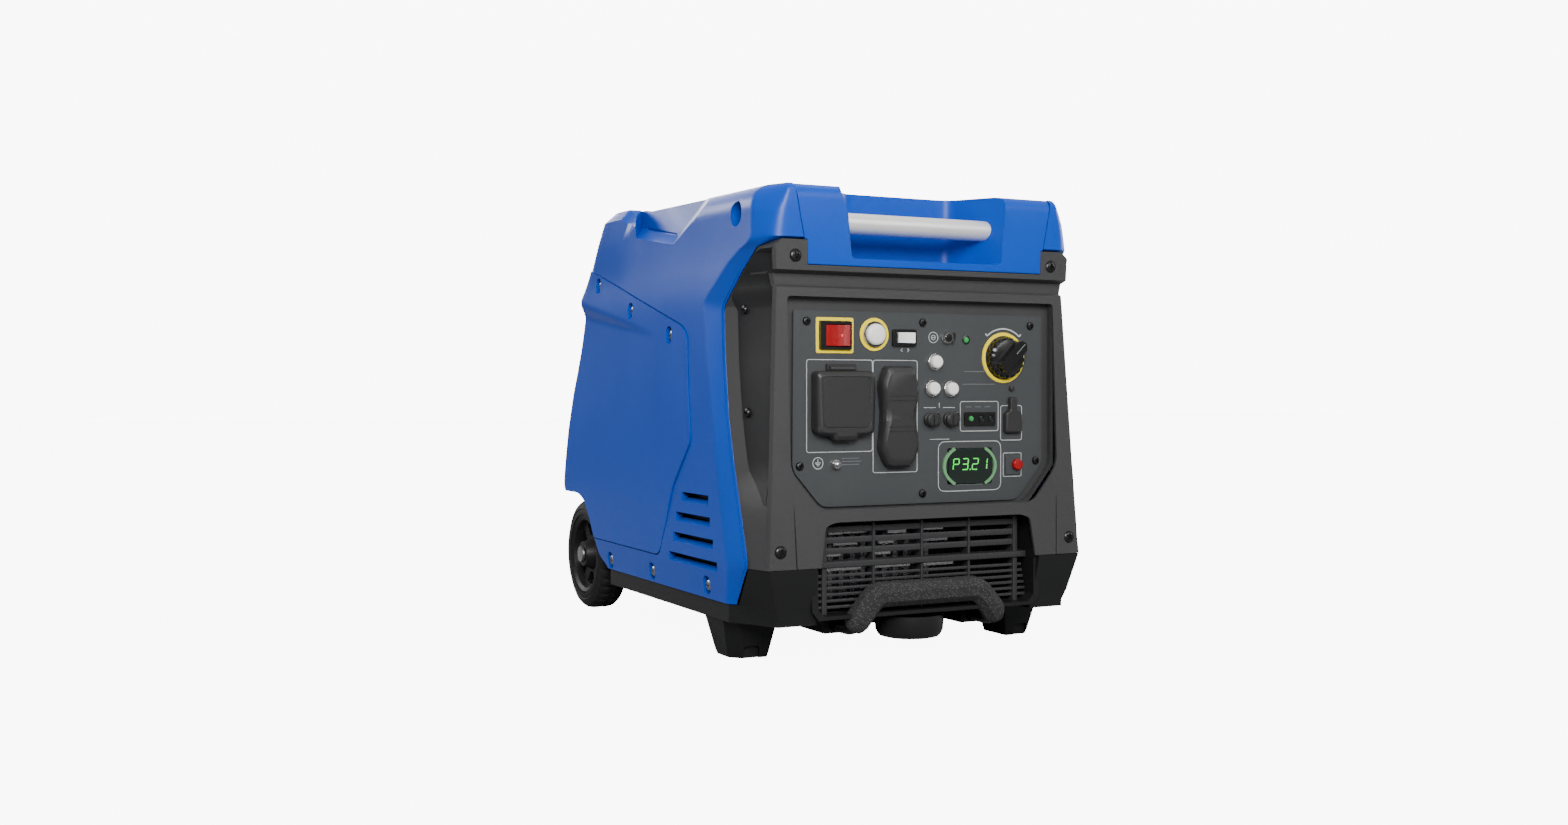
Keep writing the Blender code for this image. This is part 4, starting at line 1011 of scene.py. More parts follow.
def tyre_mesh(side):
    """A tyre with a crowned tread, ribs round its sides and blocks cut across its shoulders."""
    def tread(angle, radius, level):
        if radius < 70:
            return radius
        return radius - (1.5 if math.sin(angle * 36) > 0.35 else 0.0)

    width = WHEEL_OUT - WHEEL_IN
    profile = [(WHEEL_IN, 53.2), (WHEEL_IN, 60), (WHEEL_IN + 1.0, 64), (WHEEL_IN + 3, 69.5),
               (WHEEL_IN + 7, 72.8), (WHEEL_IN + 12, 73.8)]
    for share in (0.36, 0.42, 0.44, 0.56, 0.58, 0.64):
        deep = 1.6 if 0.43 < share < 0.57 else 0.0
        profile.append((WHEEL_IN + width * share, WHEEL_R - 0.1 - deep))
    profile += [(WHEEL_OUT - 12, 73.8), (WHEEL_OUT - 7, 72.8), (WHEEL_OUT - 3, 69.5), (WHEEL_OUT - 1.0, 64),
                (WHEEL_OUT, 62), (WHEEL_OUT - 0.9, 60.5), (WHEEL_OUT, 59), (WHEEL_OUT, 53.2)]
    return turned([(side * x, r) for x, r in profile], 0, (0, WHEEL_Y, AXLE_Z), 288, hollow=True, shape=tread)


def hub_mesh(side):
    """A moulded hub: rim, boss and six tapered spokes with windows between them."""
    profile = [(180, 8.6), (180, 18), (190, 20), (190, 45), (180, 46), (180, 52.6), (WHEEL_OUT - 1.4, 52.6),
               (WHEEL_OUT - 1.0, 51), (WHEEL_OUT - 4, 46.5), (206, 45), (204, 22), (210, 19),
               (WHEEL_OUT, 16.5), (WHEEL_OUT + 0.2, 13), (WHEEL_OUT + 0.2, 8.6)]
    hub = turned([(side * x, r) for x, r in profile], 0, (0, WHEEL_Y, AXLE_Z), 96, hollow=True)
    windows = []
    for k in range(6):
        middle = 60 * k + 30
        outline = arc((WHEEL_Y, AXLE_Z), 42, middle - 20, middle + 20, 8)
        outline += arc((WHEEL_Y, AXLE_Z), 25, middle + 13, middle - 13, 5)
        low, high = sorted((side * 185, side * 212))
        windows.append(prism(smooth_corners(outline, 2.5, 3), 0, low, high))
    return cut(hub, merged(*windows))


def build_wheels():
    for name, side in (("left", -1), ("right", 1)):
        piece(f"{name}_tyre_tread", tyre_mesh(side), "tyre", f"{name}_wheel", stands_for=(f"{name}_tyre",))
        piece(f"{name}_hub_moulding", hub_mesh(side), "black", f"{name}_wheel", bevel=0.9, segments=2,
              stands_for=(f"{name}_wheel_hub",))
    ends = [(-221.8, 9), (-221.4, 10.6), (-218.4, 11), (-218.4, AXLE_R), (218.4, AXLE_R), (218.4, 11),
            (221.4, 10.6), (221.8, 9)]
    piece("axle_bar", turned(ends, 0, (0, WHEEL_Y, AXLE_Z), 48), "steel", stands_for=("rear_axle",))


def tow_path():
    right = [(TOW_X, 90, TOW_Z), (TOW_X, -279, TOW_Z), (TOW_X, -291, TOW_Z + 2.5),
             (TOW_X - 2, GRIP_Y, TOW_Z + 11), (TOW_X - 19, GRIP_Y, 67), (TOW_X - 27, GRIP_Y, 73)]
    return mirrored(right)


def build_tow_handle():
    tube = smooth_corners(tow_path(), 8, 3, closed=False)
    piece("tow_tubes", swept(tube, 8.0, 24), "dark_steel", "tow_handle", stands_for=("tow_handle_frame",))
    path = smooth_corners(tow_path()[2:-2], 14, 6, closed=False)
    dense = []
    for a, b in zip(path, path[1:]):
        steps = max(1, round((Vector(b) - Vector(a)).length / 4))
        dense += [tuple(Vector(a).lerp(Vector(b), k / steps)) for k in range(steps)]
    dense.append(path[-1])
    flats = GRIP_R / math.cos(math.pi / 8) - 0.8
    grip = swept(dense, lambda t: flats - 3.0 * (max(0.0, abs(2 * t - 1) - 0.965) / 0.035) ** 2, 8)
    piece("grip_foam", grip, "foam", "tow_handle", bevel=2.5, segments=3, stands_for=("tow_handle_grip",))


# --- control panel -----------------------------------------------------------------------------------

STOP_AT, START_AT, EFFICIENCY_AT = (-110.5, 357.7), (-63.1, 359.7), (-23.0, 356.6)
KNOB_AT = (109.8, 335.5)
BREAKERS = {"main_breaker_button": (15.7, 330.0), "breaker_30a_button": (12.3, 300.0),
            "breaker_20a_button": (36.9, 299.7)}
SOCKET_30_AT, SOCKET_20_AT = (-105.0, 284.0), (-35.0, 269.0)
PARALLEL = {"left": (9.7, 265.1), "right": (35.4, 265.1)}
DISPLAY_AT, RESET_AT = (64.0, 211.5), (127.4, 211.9)
PANEL_SCREWS = ((-147.4, 373), (0, 374), (147.4, 373), (-155.7, 216), (155.7, 216), (0, 182))


def rounded_frame(x0, z0, x1, z1, radius, width, proud=0.3):
    outline = smooth_corners([(x0, z0), (x1, z0), (x1, z1), (x0, z1)], radius, 5)
    return ribbon(outline, width, PANEL_Y - proud, PANEL_Y + 0.2, closed=True)


def circle_line(at, radius, width, proud=0.3, start=0, end=360):
    points = arc(at, radius, start, end, 40)
    if end - start == 360:
        return ribbon(points[:-1], width, PANEL_Y - proud, PANEL_Y + 0.2, closed=True)
    return ribbon(points, width, PANEL_Y - proud, PANEL_Y + 0.2)


def bar_mark(x0, z0, x1, z1, width=0.8, proud=0.25):
    return ribbon([(x0, z0), (x1, z1)], width, PANEL_Y - proud, PANEL_Y + 0.2)


def rocker(at, half_x, half_z, rest_degrees, round_by):
    """A rocker whose axis is upright: two dished faces that meet at a shallow valley."""
    x, z = at
    turn = math.radians(rest_degrees)
    outline = []
    face = [(-half_x, -10), (-half_x * 0.5, -8.0), (0, -7), (half_x * 0.5, -8.0), (half_x, -10)]
    for u, v in [(-half_x, 2)] + face + [(half_x, 2)]:
        outline.append((x + u * math.cos(turn) - v * math.sin(turn),
                        PANEL_Y + 2 + u * math.sin(turn) + v * math.cos(turn)))
    return prism(smooth_corners(outline, round_by, 3), 2, z - half_z, z + half_z)


def window(at, half_x, half_z, radius):
    """A cutter that makes an opening through the panel."""
    x, z = at
    return rounded_box((x - half_x, PANEL_OUT, z - half_z), (x + half_x, PANEL_IN, z + half_z), radius)


def build_panel_plate():
    outline = smooth_corners(mirrored(PANEL_OUTLINE), [3, 9, 9, 9, 9, 3], 5)
    plate = prism(outline, 1, PANEL_Y, PANEL_BACK)
    holes = [window(STOP_AT, 15.4, 12.6, 1.5), window(EFFICIENCY_AT, 11.4, 6.8, 1.5)]
    round_holes = [(START_AT, 12.6), (RESET_AT, 7.1), (KNOB_AT, 9.8), (SOCKET_30_AT, 27.4)]
    round_holes += [(at, 8.0) for at in BREAKERS.values()] + [(at, 4.8) for at in PARALLEL.values()]
    for (x, z), radius in round_holes:
        holes.append(disc(1, (x, 0, z), radius, PANEL_OUT, PANEL_IN, 40))
    holes += [window(SOCKET_20_AT, 17.6, 43.6, 2), window(DISPLAY_AT, 30.5, 20.5, 2),
              rounded_box((112, PANEL_OUT, 251), (130, PANEL_IN, 270), 1.5)]
    piece("panel_plate", cut(plate, *holes), "panel", stands_for=("control_panel",))
    piece("panel_screws", screws([(x, PANEL_Y, z) for x, z in PANEL_SCREWS], 4.6), "dark_steel")


def build_panel_print():
    """Frames, rules and plain symbols; the wording of the real panel is left out."""
    frames = ((-147.3, 230.7, -65.1, 331.3, 3, 0.8), (-64.2, 206.7, -7.0, 331.3, 3, 0.8),
              (50.8, 251.4, 103.0, 285.2, 3, 0.8), (106.4, 240.3, 136.0, 280.3, 3, 0.8),
              (21.3, 183.4, 106.7, 239.7, 9, 0.8), (110.1, 198.1, 135.4, 225.4, 2, 0.7))
    piece("panel_rules", merged(*[rounded_frame(*row) for row in frames]), "print")
    marks = [circle_line(KNOB_AT, 33.5, 1.5, start=48, end=132)]
    for angle in (48, 132):
        x, z = arc(KNOB_AT, 33.5, angle, angle, 1)[0]
        marks.append(bar_mark(x, z, *arc(KNOB_AT, 37.0, angle, angle, 1)[0], width=1.4))
    ground = (-133.4, 218.8)
    marks += [circle_line(ground, 6.2, 0.8), bar_mark(ground[0], 223.2, ground[0], 219.2, 0.9)]
    for width, drop in ((7.2, 0.6), (4.8, 2.2), (2.4, 3.8)):
        marks.append(bar_mark(ground[0] - width / 2, 219.8 - drop, ground[0] + width / 2, 219.8 - drop, 0.8))
    marks += [circle_line((14.3, 357.6), 6.0, 0.7), circle_line((14.3, 357.6), 2.6, 0.7),
              bar_mark(11.7, 357.6, 16.9, 357.6, 0.7)]
    for x, step in ((-26.4, -1), (-19.8, 1)):
        marks.append(ribbon([(x, 341.2), (x + 2.2 * step, 342.9), (x, 344.6)], 0.9, PANEL_Y - 0.3,
                            PANEL_Y + 0.2))
    for x in (9.7, 35.4):
        marks.append(bar_mark(x - 8, 278.5, x + 8, 278.5, 0.7))
    marks += [bar_mark(10.0, 242.6, 36, 242.6, 0.6), bar_mark(22.4, 278.5, 22.4, 284.0, 0.7)]
    piece("panel_symbols", merged(*marks), "print")
    rows = []
    for k in range(4):
        rows.append(bar_mark(42, 199.6 - 3.1 * k, 74 + 8 * (k % 2), 199.6 - 3.1 * k, 0.7, 0.2))
    for k in range(3):
        rows.append(bar_mark(-104, 223.5 - 3.4 * k, -82 + 3 * (k % 2), 223.5 - 3.4 * k, 0.7, 0.2))
    for k in range(3):
        rows.append(bar_mark(58 + 13 * k, 279.0, 66 + 13 * k, 279.0, 0.8, 0.2))
    rows += [bar_mark(56, 319.5, 88, 319.5, 0.8, 0.2), bar_mark(54, 305.0, 98, 305.0, 0.8, 0.2)]
    piece("panel_small_rules", merged(*rows), "dim_print")


def segment_digit(x, z, width, height, lit, stroke=1.05):
    """A seven-segment figure standing at x, z; lit names its segments, a to g."""
    top, middle = z + height, z + height / 2
    gap = 0.5
    left, right = x + gap, x + width - gap
    low, high = (middle - gap, z + gap), (top - gap, middle + gap)
    lines = {"a": ((left, top), (right, top)), "g": ((left, middle), (right, middle)),
             "d": ((left, z), (right, z)), "f": ((x, high[0]), (x, high[1])),
             "b": ((x + width, high[0]), (x + width, high[1])), "e": ((x, low[0]), (x, low[1])),
             "c": ((x + width, low[0]), (x + width, low[1]))}
    out = []
    for name in lit:
        (ax, az), (bx, bz) = lines[name]
        slant = 0.10
        points = [(ax + (az - z) * slant, az), (bx + (bz - z) * slant, bz)]
        out.append(ribbon(points, stroke, PANEL_Y - 2.5, PANEL_Y - 2.1))
    return out


def build_meter():
    x, z = DISPLAY_AT
    block = rounded_box((x - 30, PANEL_Y - 2.2, z - 20), (x + 30, PANEL_BACK + 14, z + 20), 5)
    piece("meter_lens", block, "lens", bevel=0.6, stands_for=("display_meter",))
    lit = []
    for k, segments in enumerate(("abefg", "abcdg", "abdeg", "bc")):
        left = 39.6 + 12.4 * k + (1.2 if k > 1 else 0)
        lit += segment_digit(left, 207.6, 7.4, 12.4, segments)
    lit.append(box((62.2, PANEL_Y - 2.5, 207), (63.6, PANEL_Y - 2.1, 208.4)))
    piece("meter_digits", merged(*lit), "green")
    scale = []
    for start, end in ((126, 234), (-54, 54)):
        steps = [math.radians(start + (end - start) * k / 24) for k in range(25)]
        outline = [(x - 1 + (36.5 + r) * math.cos(t), z + (26.5 + r) * math.sin(t)) for r in (0, -3.4)
                   for t in (steps if r == 0 else reversed(steps))]
        scale.append(prism(outline, 1, PANEL_Y - 2.5, PANEL_Y + 0.1))
    piece("meter_scale", merged(*scale), "dim_green")


def fitting(profile, at, steps=48, hollow=False):
    """A turned part on the panel at (x, z), from (distance proud of the panel, radius)."""
    return turned([(PANEL_Y - proud, radius) for proud, radius in profile], 1, (at[0], 0, at[1]), steps,
                  hollow)


def build_switches():
    x, z = STOP_AT
    ring = cut(rounded_box((-136.2, PANEL_Y - 1.0, 338.4), (-89.6, PANEL_Y + 0.2, 377.4), 2.5),
               rounded_box((-132.4, PANEL_OUT, 342.2), (-93.2, PANEL_IN, 373.6), 1.5))
    piece("stop_switch_border", ring, "yellow", bevel=0.3)
    housing = cut(rounded_box((-132.2, PANEL_Y - 4.5, 342.4), (-93.4, PANEL_Y + 0.4, 373.4), 2),
                  window((x, z), 15.2, 12.4, 1))
    piece("stop_switch_housing", housing, "gloss_black", bevel=0.8)
    # The rocker's faint glow is painted light; its lamp is the separate piece below.
    piece("stop_rocker", rocker(STOP_AT, 14, 11.4, -9, 1.2), "red", "stop_switch_rocker", bevel=0.8,
          stands_for=("stop_switch_rocker",))
    lamp = [(6.6, 2.6), (6.2, 3.4), (4.6, 3.4)]
    piece("stop_rocker_lamp", fitting(lamp, (x + 6.4, z), 24), "red_glow", "stop_switch_rocker")
    x, z = EFFICIENCY_AT
    housing = cut(rounded_box((-40.2, PANEL_Y - 3.2, 347.2), (-9.6, PANEL_Y + 0.4, 366.0), 2),
                  window((x, z), 11.2, 6.6, 1))
    piece("efficiency_housing", housing, "gloss_black", bevel=0.7)
    piece("efficiency_paddle", rocker(EFFICIENCY_AT, 10, 5.8, -9, 1.0), "white", "efficiency_rocker",
          bevel=0.7, stands_for=("efficiency_rocker",))
    x, z = START_AT
    ring = fitting([(0.9, 18.2), (-0.2, 18.2), (-0.2, 14.6), (0.9, 14.6)], (x, z), 64, hollow=True)
    piece("start_border", ring, "yellow")
    bezel = [(2.8, 14.4), (3.8, 13.6), (3.8, 12.9), (2.0, 12.5), (-0.3, 12.5), (-0.3, 14.6)]
    piece("start_bezel", fitting(bezel, (x, z), 64, hollow=True), "chrome")
    cap = [(9, 4.0), (8.8, 8.2), (7.8, 10.4), (6.4, 11.6), (3.5, 12), (3.4, 8), (-7, 8)]
    piece("start_cap", fitting(cap, (x, z), 56), "clear", "start_button", stands_for=("start_button",))
    x, z = RESET_AT
    piece("reset_plate", rounded_box((113.2, PANEL_Y - 1.6, 200.6), (132.8 + 1.6, PANEL_Y + 0.3, 222.8), 1.5),
          "panel", bevel=0.5)
    cap = [(7.5, 3.0), (7.1, 5.2), (6, 6.3), (2.2, 6.5), (2.1, 4.5), (-7, 4.5)]
    # The reset cap's faint glow is painted light; the cap is no lamp.
    piece("reset_cap", fitting(cap, (x, z), 40), "red", "reset_button", stands_for=("reset_button",))


def build_breakers():
    for name, (x, z) in BREAKERS.items():
        nut = [(3.2, 9.4), (-0.2, 10.2), (-0.2, 8.0), (3.2, 8.0)]
        piece(f"{name}_nut", fitting(nut, (x, z), 6 if FINE == 1 else 12, hollow=True), "chrome", bevel=0.4)
        cap = [(9, 3.4), (8.7, 5.8), (7.6, 7.0), (3.5, 7.4), (3.4, 5.2), (-7, 5.2)]
        piece(f"{name}_cap", fitting(cap, (x, z), 40), "clear", name, stands_for=(name,))


def build_knob():
    x, z = KNOB_AT
    ring = fitting([(1.2, 28.8), (-0.2, 29.4), (-0.2, 25.0), (1.2, 25.4)], (x, z), 72, hollow=True)
    piece("knob_border", ring, "yellow")

    def flute(angle, radius, level):
        return radius - (0.9 if radius > 21 and math.sin(angle * 18) > 0 else 0.0)

    profile = [(-299.5, 17.5), (-298.6, 20.4), (-296, 23.2), (-293.5, 24), (-288.4, 24), (-288.2, 9),
               (-279, 9)]
    base = turned(profile, 1, (x, 0, z), 144, shape=flute)
    grip = smooth_corners([(x + u, z + v) for u, v in ((-18.5, -8.5), (-8.5, -18.5), (19.5, 8.5),
                                                       (17.6, 17.6), (8.5, 19.5))], 3.5, 4)
    knob = join(base, prism(grip, 1, -308, -292))
    piece("knob_moulding", knob, "gloss_black", "fuel_knob", bevel=0.8, stands_for=("fuel_knob",))
    pointer = ribbon([(x + 4, z + 4), (x + 15.4, z + 15.4)], 1.2, -308.5, -307.8)
    piece("knob_pointer", pointer, "dim_print", "fuel_knob")


def pillow(outline, low, high, rise, edge):
    """A cover moulded as a stepped cushion: its rim, a sloped shoulder and a flatter face."""
    middle = Vector((sum(p[0] for p in outline), sum(p[1] for p in outline))) / len(outline)
    rings = []
    for level, inset in ((high, 0.0), (low + rise, 0.0), (low + rise * 0.45, edge * 0.3), (low, edge)):
        ring = []
        for point in outline:
            arm = Vector(point) - middle
            moved = middle + arm * max(0.1, 1 - inset / arm.length)
            ring.append((moved.x, level, moved.y))
        rings.append(ring)
    return ring_tube(rings)


def build_outlets():
    x, z = SOCKET_30_AT
    socket = fitting([(2.5, 26), (2.0, 27), (-27, 27)], (x, z), 64)
    slots = [box((x + a, PANEL_OUT, z + b), (x + c, -278, z + d)) for a, b, c, d in ((-1.5, 8, 1.5, 19),
                                                                                     (-17, -3, -8, 0.5),
                                                                                     (8, -3, 17, 0.5))]
    slots.append(disc(1, (x, 0, z - 14), 3.6, PANEL_OUT, -278, 20))
    piece("outlet_30a", cut(socket, *slots), "black", stands_for=("socket_30a",))
    x, z = SOCKET_20_AT
    socket = rounded_box((x - 17, PANEL_Y - 2.5, z - 43), (x + 17, PANEL_BACK + 24, z + 43), 3)
    slots = []
    for middle in (z - 21, z + 21):
        slots += [box((x - 8, PANEL_OUT, middle - 3), (x - 5.5, -278, middle + 6)),
                  box((x + 5.5, PANEL_OUT, middle - 3), (x + 8, -278, middle + 6)),
                  disc(1, (x, 0, middle - 9), 2.8, PANEL_OUT, -278, 20)]
    piece("outlet_20a", cut(socket, *slots), "black", bevel=0.5, stands_for=("socket_20a",))


def build_lids():
    outline = smooth_corners([(-142, 250.5), (-121.5, 247.5), (-119, 242.6), (-92, 242.6), (-89.5, 247.5),
                              (-68, 250.5), (-68, 319), (-142, 319)], [7, 3, 2.5, 2.5, 3, 7, 6, 6], 5)
    flap = pillow(outline, PANEL_Y - 15.5, PANEL_Y - 0.7, 5.5, 6.0)
    inner = smooth_corners([(-134, 257), (-76, 257), (-76, 312), (-134, 312)], 6, 5)
    flap = cut(flap, ribbon(inner, 1.6, PANEL_Y - 17, PANEL_Y - 14.6, closed=True))
    flap = cut(flap, prism(smooth_corners([(-135, 254), (-75, 254), (-75, 313), (-135, 313)], 5), 1,
                           PANEL_Y - 12, PANEL_Y + 2))
    piece("outlet_30a_flap", flap, "rubber", "socket_30a_cover", bevel=0.7, stands_for=("socket_30a_cover",))
    hinge = join(disc(0, (0, PANEL_Y - 3.4, 321.5), 3.2, -121, -90, 20),
                 rounded_box((-124, PANEL_Y - 3.2, 319.5), (-87, PANEL_Y + 0.2, 327.0), 2))
    piece("outlet_30a_hinge", hinge, "rubber", bevel=0.5)
    waist = smooth_corners([(-50, 212.5), (-20, 212.5), (-10.4, 232), (-14.4, 272), (-10, 300), (-17, 325),
                            (-52, 325), (-60, 306), (-56, 272), (-60, 232)], [5, 5, 6, 9, 8, 5, 5, 7, 9, 6],
                           5)
    cover = pillow(waist, PANEL_Y - 15, PANEL_Y - 0.7, 6.5, 8.0)
    back = smooth_corners([(-50, 219), (-21, 219), (-17, 240), (-19, 272), (-16, 300), (-20, 318), (-50, 318),
                           (-54, 300), (-50, 272), (-54, 240)], 4)
    cover = cut(cover, prism(back, 1, PANEL_Y - 11.5, PANEL_Y + 2))
    ridges = [box((-52, PANEL_Y - 16.5, z - 0.8), (-18, PANEL_Y - 14.3, z + 0.8))
              for z in (286, 291, 252, 257)]
    cover = cut(cover, *ridges)
    piece("outlet_20a_flap", cover, "rubber", "socket_20a_cover", bevel=0.7, stands_for=("socket_20a_cover",))
    usb = smooth_corners([(109.6, 248.6), (132.8, 248.6), (132.8, 272), (126, 275), (126, 290), (116, 290),
                          (116, 275), (109.6, 272)], [3, 3, 3, 3, 2, 2, 3, 3], 4)
    tab = pillow(usb, PANEL_Y - 7, PANEL_Y - 0.7, 2.5, 2.0)
    tab = cut(tab, prism(smooth_corners([(113, 252), (129.5, 252), (129.5, 269), (113, 269)], 2), 1,
                         PANEL_Y - 4.6, PANEL_Y + 2))
    piece("usb_flap", tab, "rubber", "usb_cover", bevel=0.5, stands_for=("usb_cover",))
    anchor = [(3.4, 2.0), (3.0, 3.0), (-0.2, 3.3)]
    piece("usb_strap_anchor", fitting(anchor, (121, 300.2), 24), "rubber")
    for side, (x, z) in PARALLEL.items():
        profile = [(11, 3.0), (10.8, 6.2), (9, 8.0), (6, 8.2), (5.6, 7.4), (4.6, 7.4), (4.2, 8.3), (0.5, 8.3),
                   (0.4, 4.0), (-6, 4.0)]
        cap = join(fitting(profile, (x, z), 36), rounded_box((x - 1.2, PANEL_Y - 13, z - 6),
                                                             (x + 1.2, PANEL_Y - 9, z + 6), 1))
        piece(f"parallel_{side}_plug", cap, "rubber", f"parallel_cap_{side}", bevel=0.3,
              stands_for=(f"parallel_cap_{side}",))
        loop = swept(smooth_corners([(x + 7, PANEL_Y - 1.6, z + 6), (x + 11, PANEL_Y - 3.5, z + 9),
                                     (x + 12, PANEL_Y - 4.2, z + 1), (x + 11, PANEL_Y - 2, z - 7)], 4, 4,
                                    closed=False), 1.1, 10)
        piece(f"parallel_{side}_tether", loop, "rubber")


def build_small_fittings():
    piece("charge_port", fitting([(5, 4.6), (5, 6.0), (3, 7.2), (-0.2, 7.4), (-0.2, 4.6)], (32, 357.3), 40,
                                 hollow=True), "chrome")
    piece("charge_port_plug", fitting([(6.8, 2.0), (6.6, 3.8), (5.8, 4.5), (-0.1, 4.5)], (32, 357.3), 28),
          "gloss_black")
    strap = swept(smooth_corners([(33, PANEL_Y - 6.4, 360.5), (38, PANEL_Y - 7, 364), (42, PANEL_Y - 3, 358),
                                  (39.5, PANEL_Y - 1.2, 350)], 4, 4, closed=False), 1.0, 10)
    piece("charge_port_strap", strap, "rubber")
    piece("start_lamp", fitting([(2.4, 1.2), (2.0, 2.8), (-0.1, 3.6)], (58.3, 355.4), 28), "lamp")
    collar = [(1.2, 3.7), (0.8, 5.0), (-0.2, 5.0), (-0.2, 3.7)]
    piece("start_lamp_collar", fitting(collar, (58.3, 355.4), 32, hollow=True), "gloss_black")
    block = rounded_box((55.7, PANEL_Y - 2.4, 257.4), (97.9, PANEL_Y + 0.2, 273.0), 2)
    wells = [disc(1, (x, 0, 265.7), 3.9, PANEL_OUT, PANEL_Y - 1.2, 28) for x in (64.8, 78.0, 90.8)]
    piece("lamp_block", cut(block, *wells), "gloss_black", bevel=0.5)
    for number, (x, look) in enumerate(((64.8, "lamp"), (78.0, "lens"), (90.8, "lens"))):
        piece(f"status_lamp_{number + 1}", fitting([(3.2, 1.0), (2.8, 2.6), (0.9, 3.3)], (x, 265.7), 24),
              look)
    post = [(9, 1.6), (8.6, 2.2), (4, 2.2), (4, 5.2), (-0.2, 5.6)]
    piece("earth_post", fitting(post, (-112, 217.2), 32), "chrome")
    piece("earth_nut", fitting([(6.4, 4.6), (4.0, 5.0), (4.0, 2.3), (6.4, 2.3)], (-112, 217.2), 12,
                               hollow=True), "steel", bevel=0.3)


# --- recoil handle, and the inside -------------------------------------------------------------------


def build_recoil_handle():
    y, z = RECOIL
    outline = smooth_corners([(y - 44, z - 6), (y - 20, z - 8), (y + 20, z - 8), (y + 44, z - 6),
                              (y + 44, z + 6), (y + 20, z + 8), (y - 20, z + 8), (y - 44, z + 6)], 5, 5)
    handle = prism(outline, 0, 201, 218)
    piece("recoil_grip", handle, "black", "recoil_handle", bevel=2.5, segments=4,
          stands_for=("recoil_handle",))
    rope = swept([(200.4 - 4 * k, y, z) for k in range(81)], 2.5, 12)
    piece("recoil_line", rope, "rope", "recoil_handle", stands_for=("recoil_rope",))


INSIDE = {
    "black": ("fuel_tank", "fuel_cap_insert", "cooling_fan", "recoil_pulley", "recoil_housing",
              "air_filter_box",
              "battery"),
    "cast": ("engine_block", "cylinder_head", "alternator_stator", "carburettor", "inverter_module"),
    "steel": ("crankshaft", "flywheel_rotor", "muffler", "starter_motor"),
    "white": ("spark_plug",),
}


def dress_inside():
    for look, names in INSIDE.items():
        slot, made = LOOKS[look]
        for name in names:
            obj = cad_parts[name]
            obj.data.materials.clear()
            obj.data.materials.append(made)
            obj.data.shade_smooth()
            obj.data.set_sharp_from_angle(angle=math.radians(30))


# --- studio ------------------------------------------------------------------------------------------

SKY = (0.09, 0.7)  # strength at the horizon and overhead
FLOOR_GLOW, BACKDROP = 8.6, 9.0


def area_light(name, at, aim, size, power, colour=(1, 1, 1)):
    data = bpy.data.lights.new(name, "AREA")
    data.shape = "RECTANGLE"
    data.size, data.size_y = size
    data.energy = power
    data.color = colour
    light = bpy.data.objects.new(name, data)
    bpy.context.scene.collection.objects.link(light)
    light.location = at
    light.rotation_euler = (Vector(aim) - Vector(at)).to_track_quat("-Z", "Y").to_euler()


def seen_directly(tree, strength):
    """A strength that only applies where the camera looks straight at the surface."""
    path = tree.nodes.new("ShaderNodeLightPath")
    product = tree.nodes.new("ShaderNodeMath")
    product.operation = "MULTIPLY"
    product.inputs[1].default_value = strength
    tree.links.new(path.outputs["Is Camera Ray"], product.inputs[0])
    return product.outputs["Value"]


def build_floor():
    made, shader = new_material("pale_floor", (0.22, 0.22, 0.22), 0.85, shine=0.1)
    shader.inputs["Emission Color"].default_value = (1, 1, 1, 1)
    made.node_tree.links.new(seen_directly(made.node_tree, FLOOR_GLOW), shader.inputs["Emission Strength"])
    mesh = bpy.data.meshes.new("floor")
    bm = bmesh.new()
    bmesh.ops.create_grid(bm, x_segments=4, y_segments=4, size=14)
    bm.to_mesh(mesh)
    bm.free()
    mesh.materials.append(made)
    floor = bpy.data.objects.new("floor", mesh)
    bpy.context.scene.collection.objects.link(floor)


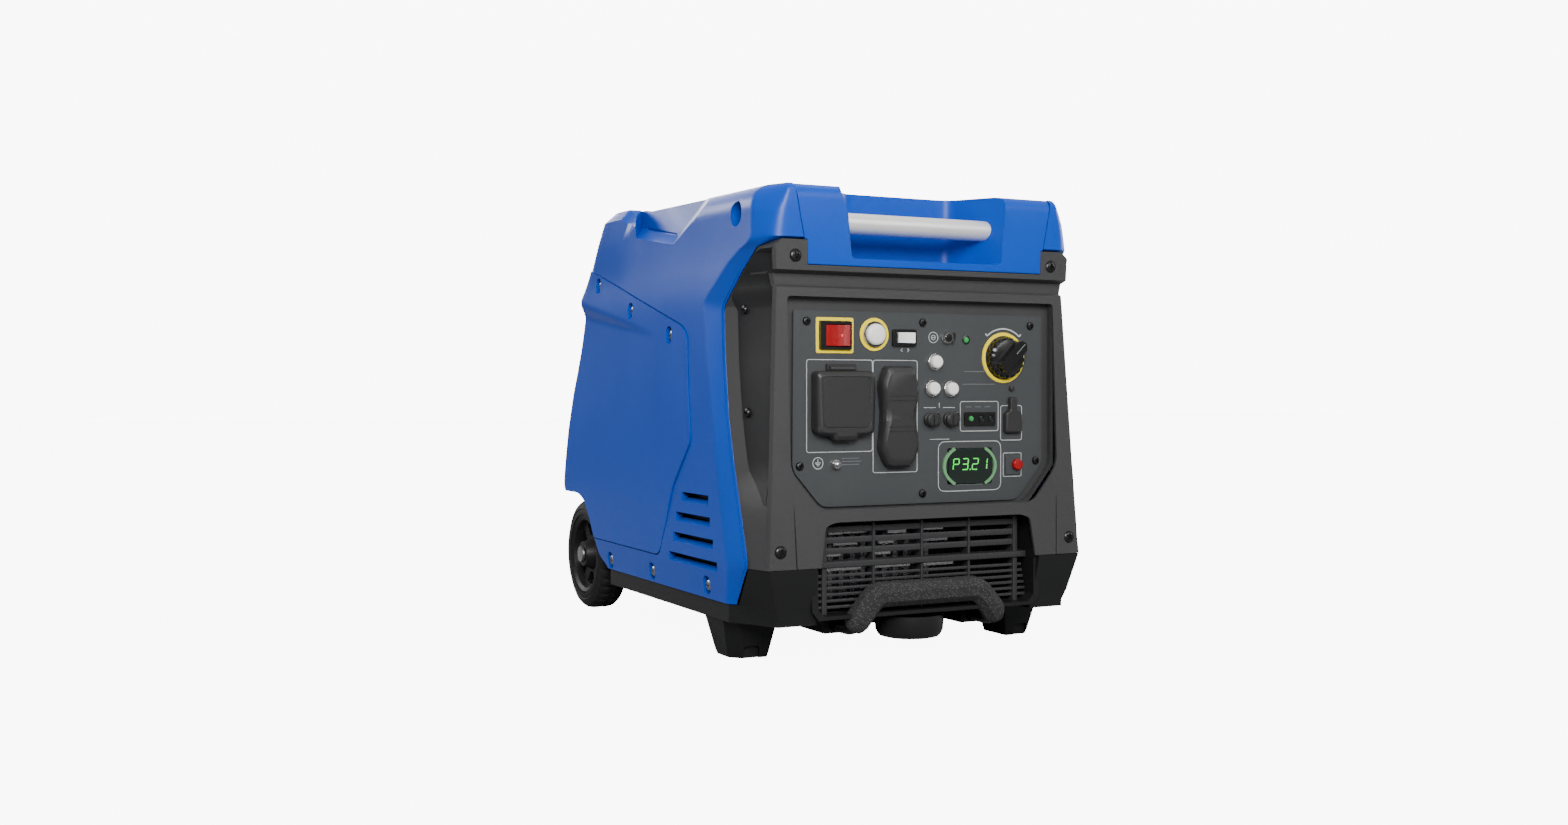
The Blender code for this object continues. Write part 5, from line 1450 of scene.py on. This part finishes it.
def build_studio():
    """A white backdrop, and a soft sky that is brighter overhead than at the floor."""
    build_floor()
    world = bpy.data.worlds.new("studio")
    world.use_nodes = True
    tree = world.node_tree
    coordinates = tree.nodes.new("ShaderNodeTexCoord")
    split = tree.nodes.new("ShaderNodeSeparateXYZ")
    sky = tree.nodes.new("ShaderNodeMapRange")
    total = tree.nodes.new("ShaderNodeMath")
    total.operation = "ADD"
    for name, value in (("From Min", -0.1), ("From Max", 0.7), ("To Min", SKY[0]), ("To Max", SKY[1])):
        sky.inputs[name].default_value = value
    tree.links.new(coordinates.outputs["Generated"], split.inputs["Vector"])
    tree.links.new(split.outputs["Z"], sky.inputs["Value"])
    tree.links.new(sky.outputs["Result"], total.inputs[0])
    tree.links.new(seen_directly(tree, BACKDROP), total.inputs[1])
    tree.links.new(total.outputs["Value"], tree.nodes["Background"].inputs["Strength"])
    tree.nodes["Background"].inputs["Color"].default_value = (1, 1, 1, 1)
    bpy.context.scene.world = world
    area_light("key", (-1.25, -2.75, 1.5), (0, 0, 0.3), (1.2, 1.2), 120)
    area_light("side_wash", (-2.0, 2.9, 1.75), (-0.1, 0, 0.45), (2.4, 0.9), 62)
    area_light("front_fill", (0.9, -2.8, 1.7), (0, -0.2, 0.3), (1.6, 1.2), 30)
    area_light("right_fill", (2.9, 0.2, 1.5), (0.1, 0, 0.3), (1.6, 1.6), 55)
    area_light("back_fill", (0.6, 3.2, 1.4), (0, 0.2, 0.3), (1.6, 1.2), 40)
    area_light("top", (0.2, 0.3, 2.6), (0, 0, 0.3), (1.6, 1.6), 16)


def build_camera():
    data = bpy.data.cameras.new("view")
    data.lens, data.sensor_width = LENS, SENSOR
    data.sensor_fit = "HORIZONTAL"
    camera = bpy.data.objects.new("view", data)
    bpy.context.scene.collection.objects.link(camera)
    camera.location = CAMERA_AT
    camera.rotation_euler = (CAMERA_TILT, 0, CAMERA_YAW)
    bpy.context.scene.camera = camera


def build_all():
    for step in (build_camera, build_studio, build_sides, build_top_cover, build_bars, build_fuel_cap,
                 build_bezel,
                 build_grille, build_rear_cover, build_baffles, build_base, build_wheels, build_tow_handle,
                 build_panel_plate,
                 build_panel_print, build_meter, build_switches, build_breakers, build_knob, build_outlets,
                 build_lids,
                 build_small_fittings, build_recoil_handle, dress_inside):
        step()


build_all()
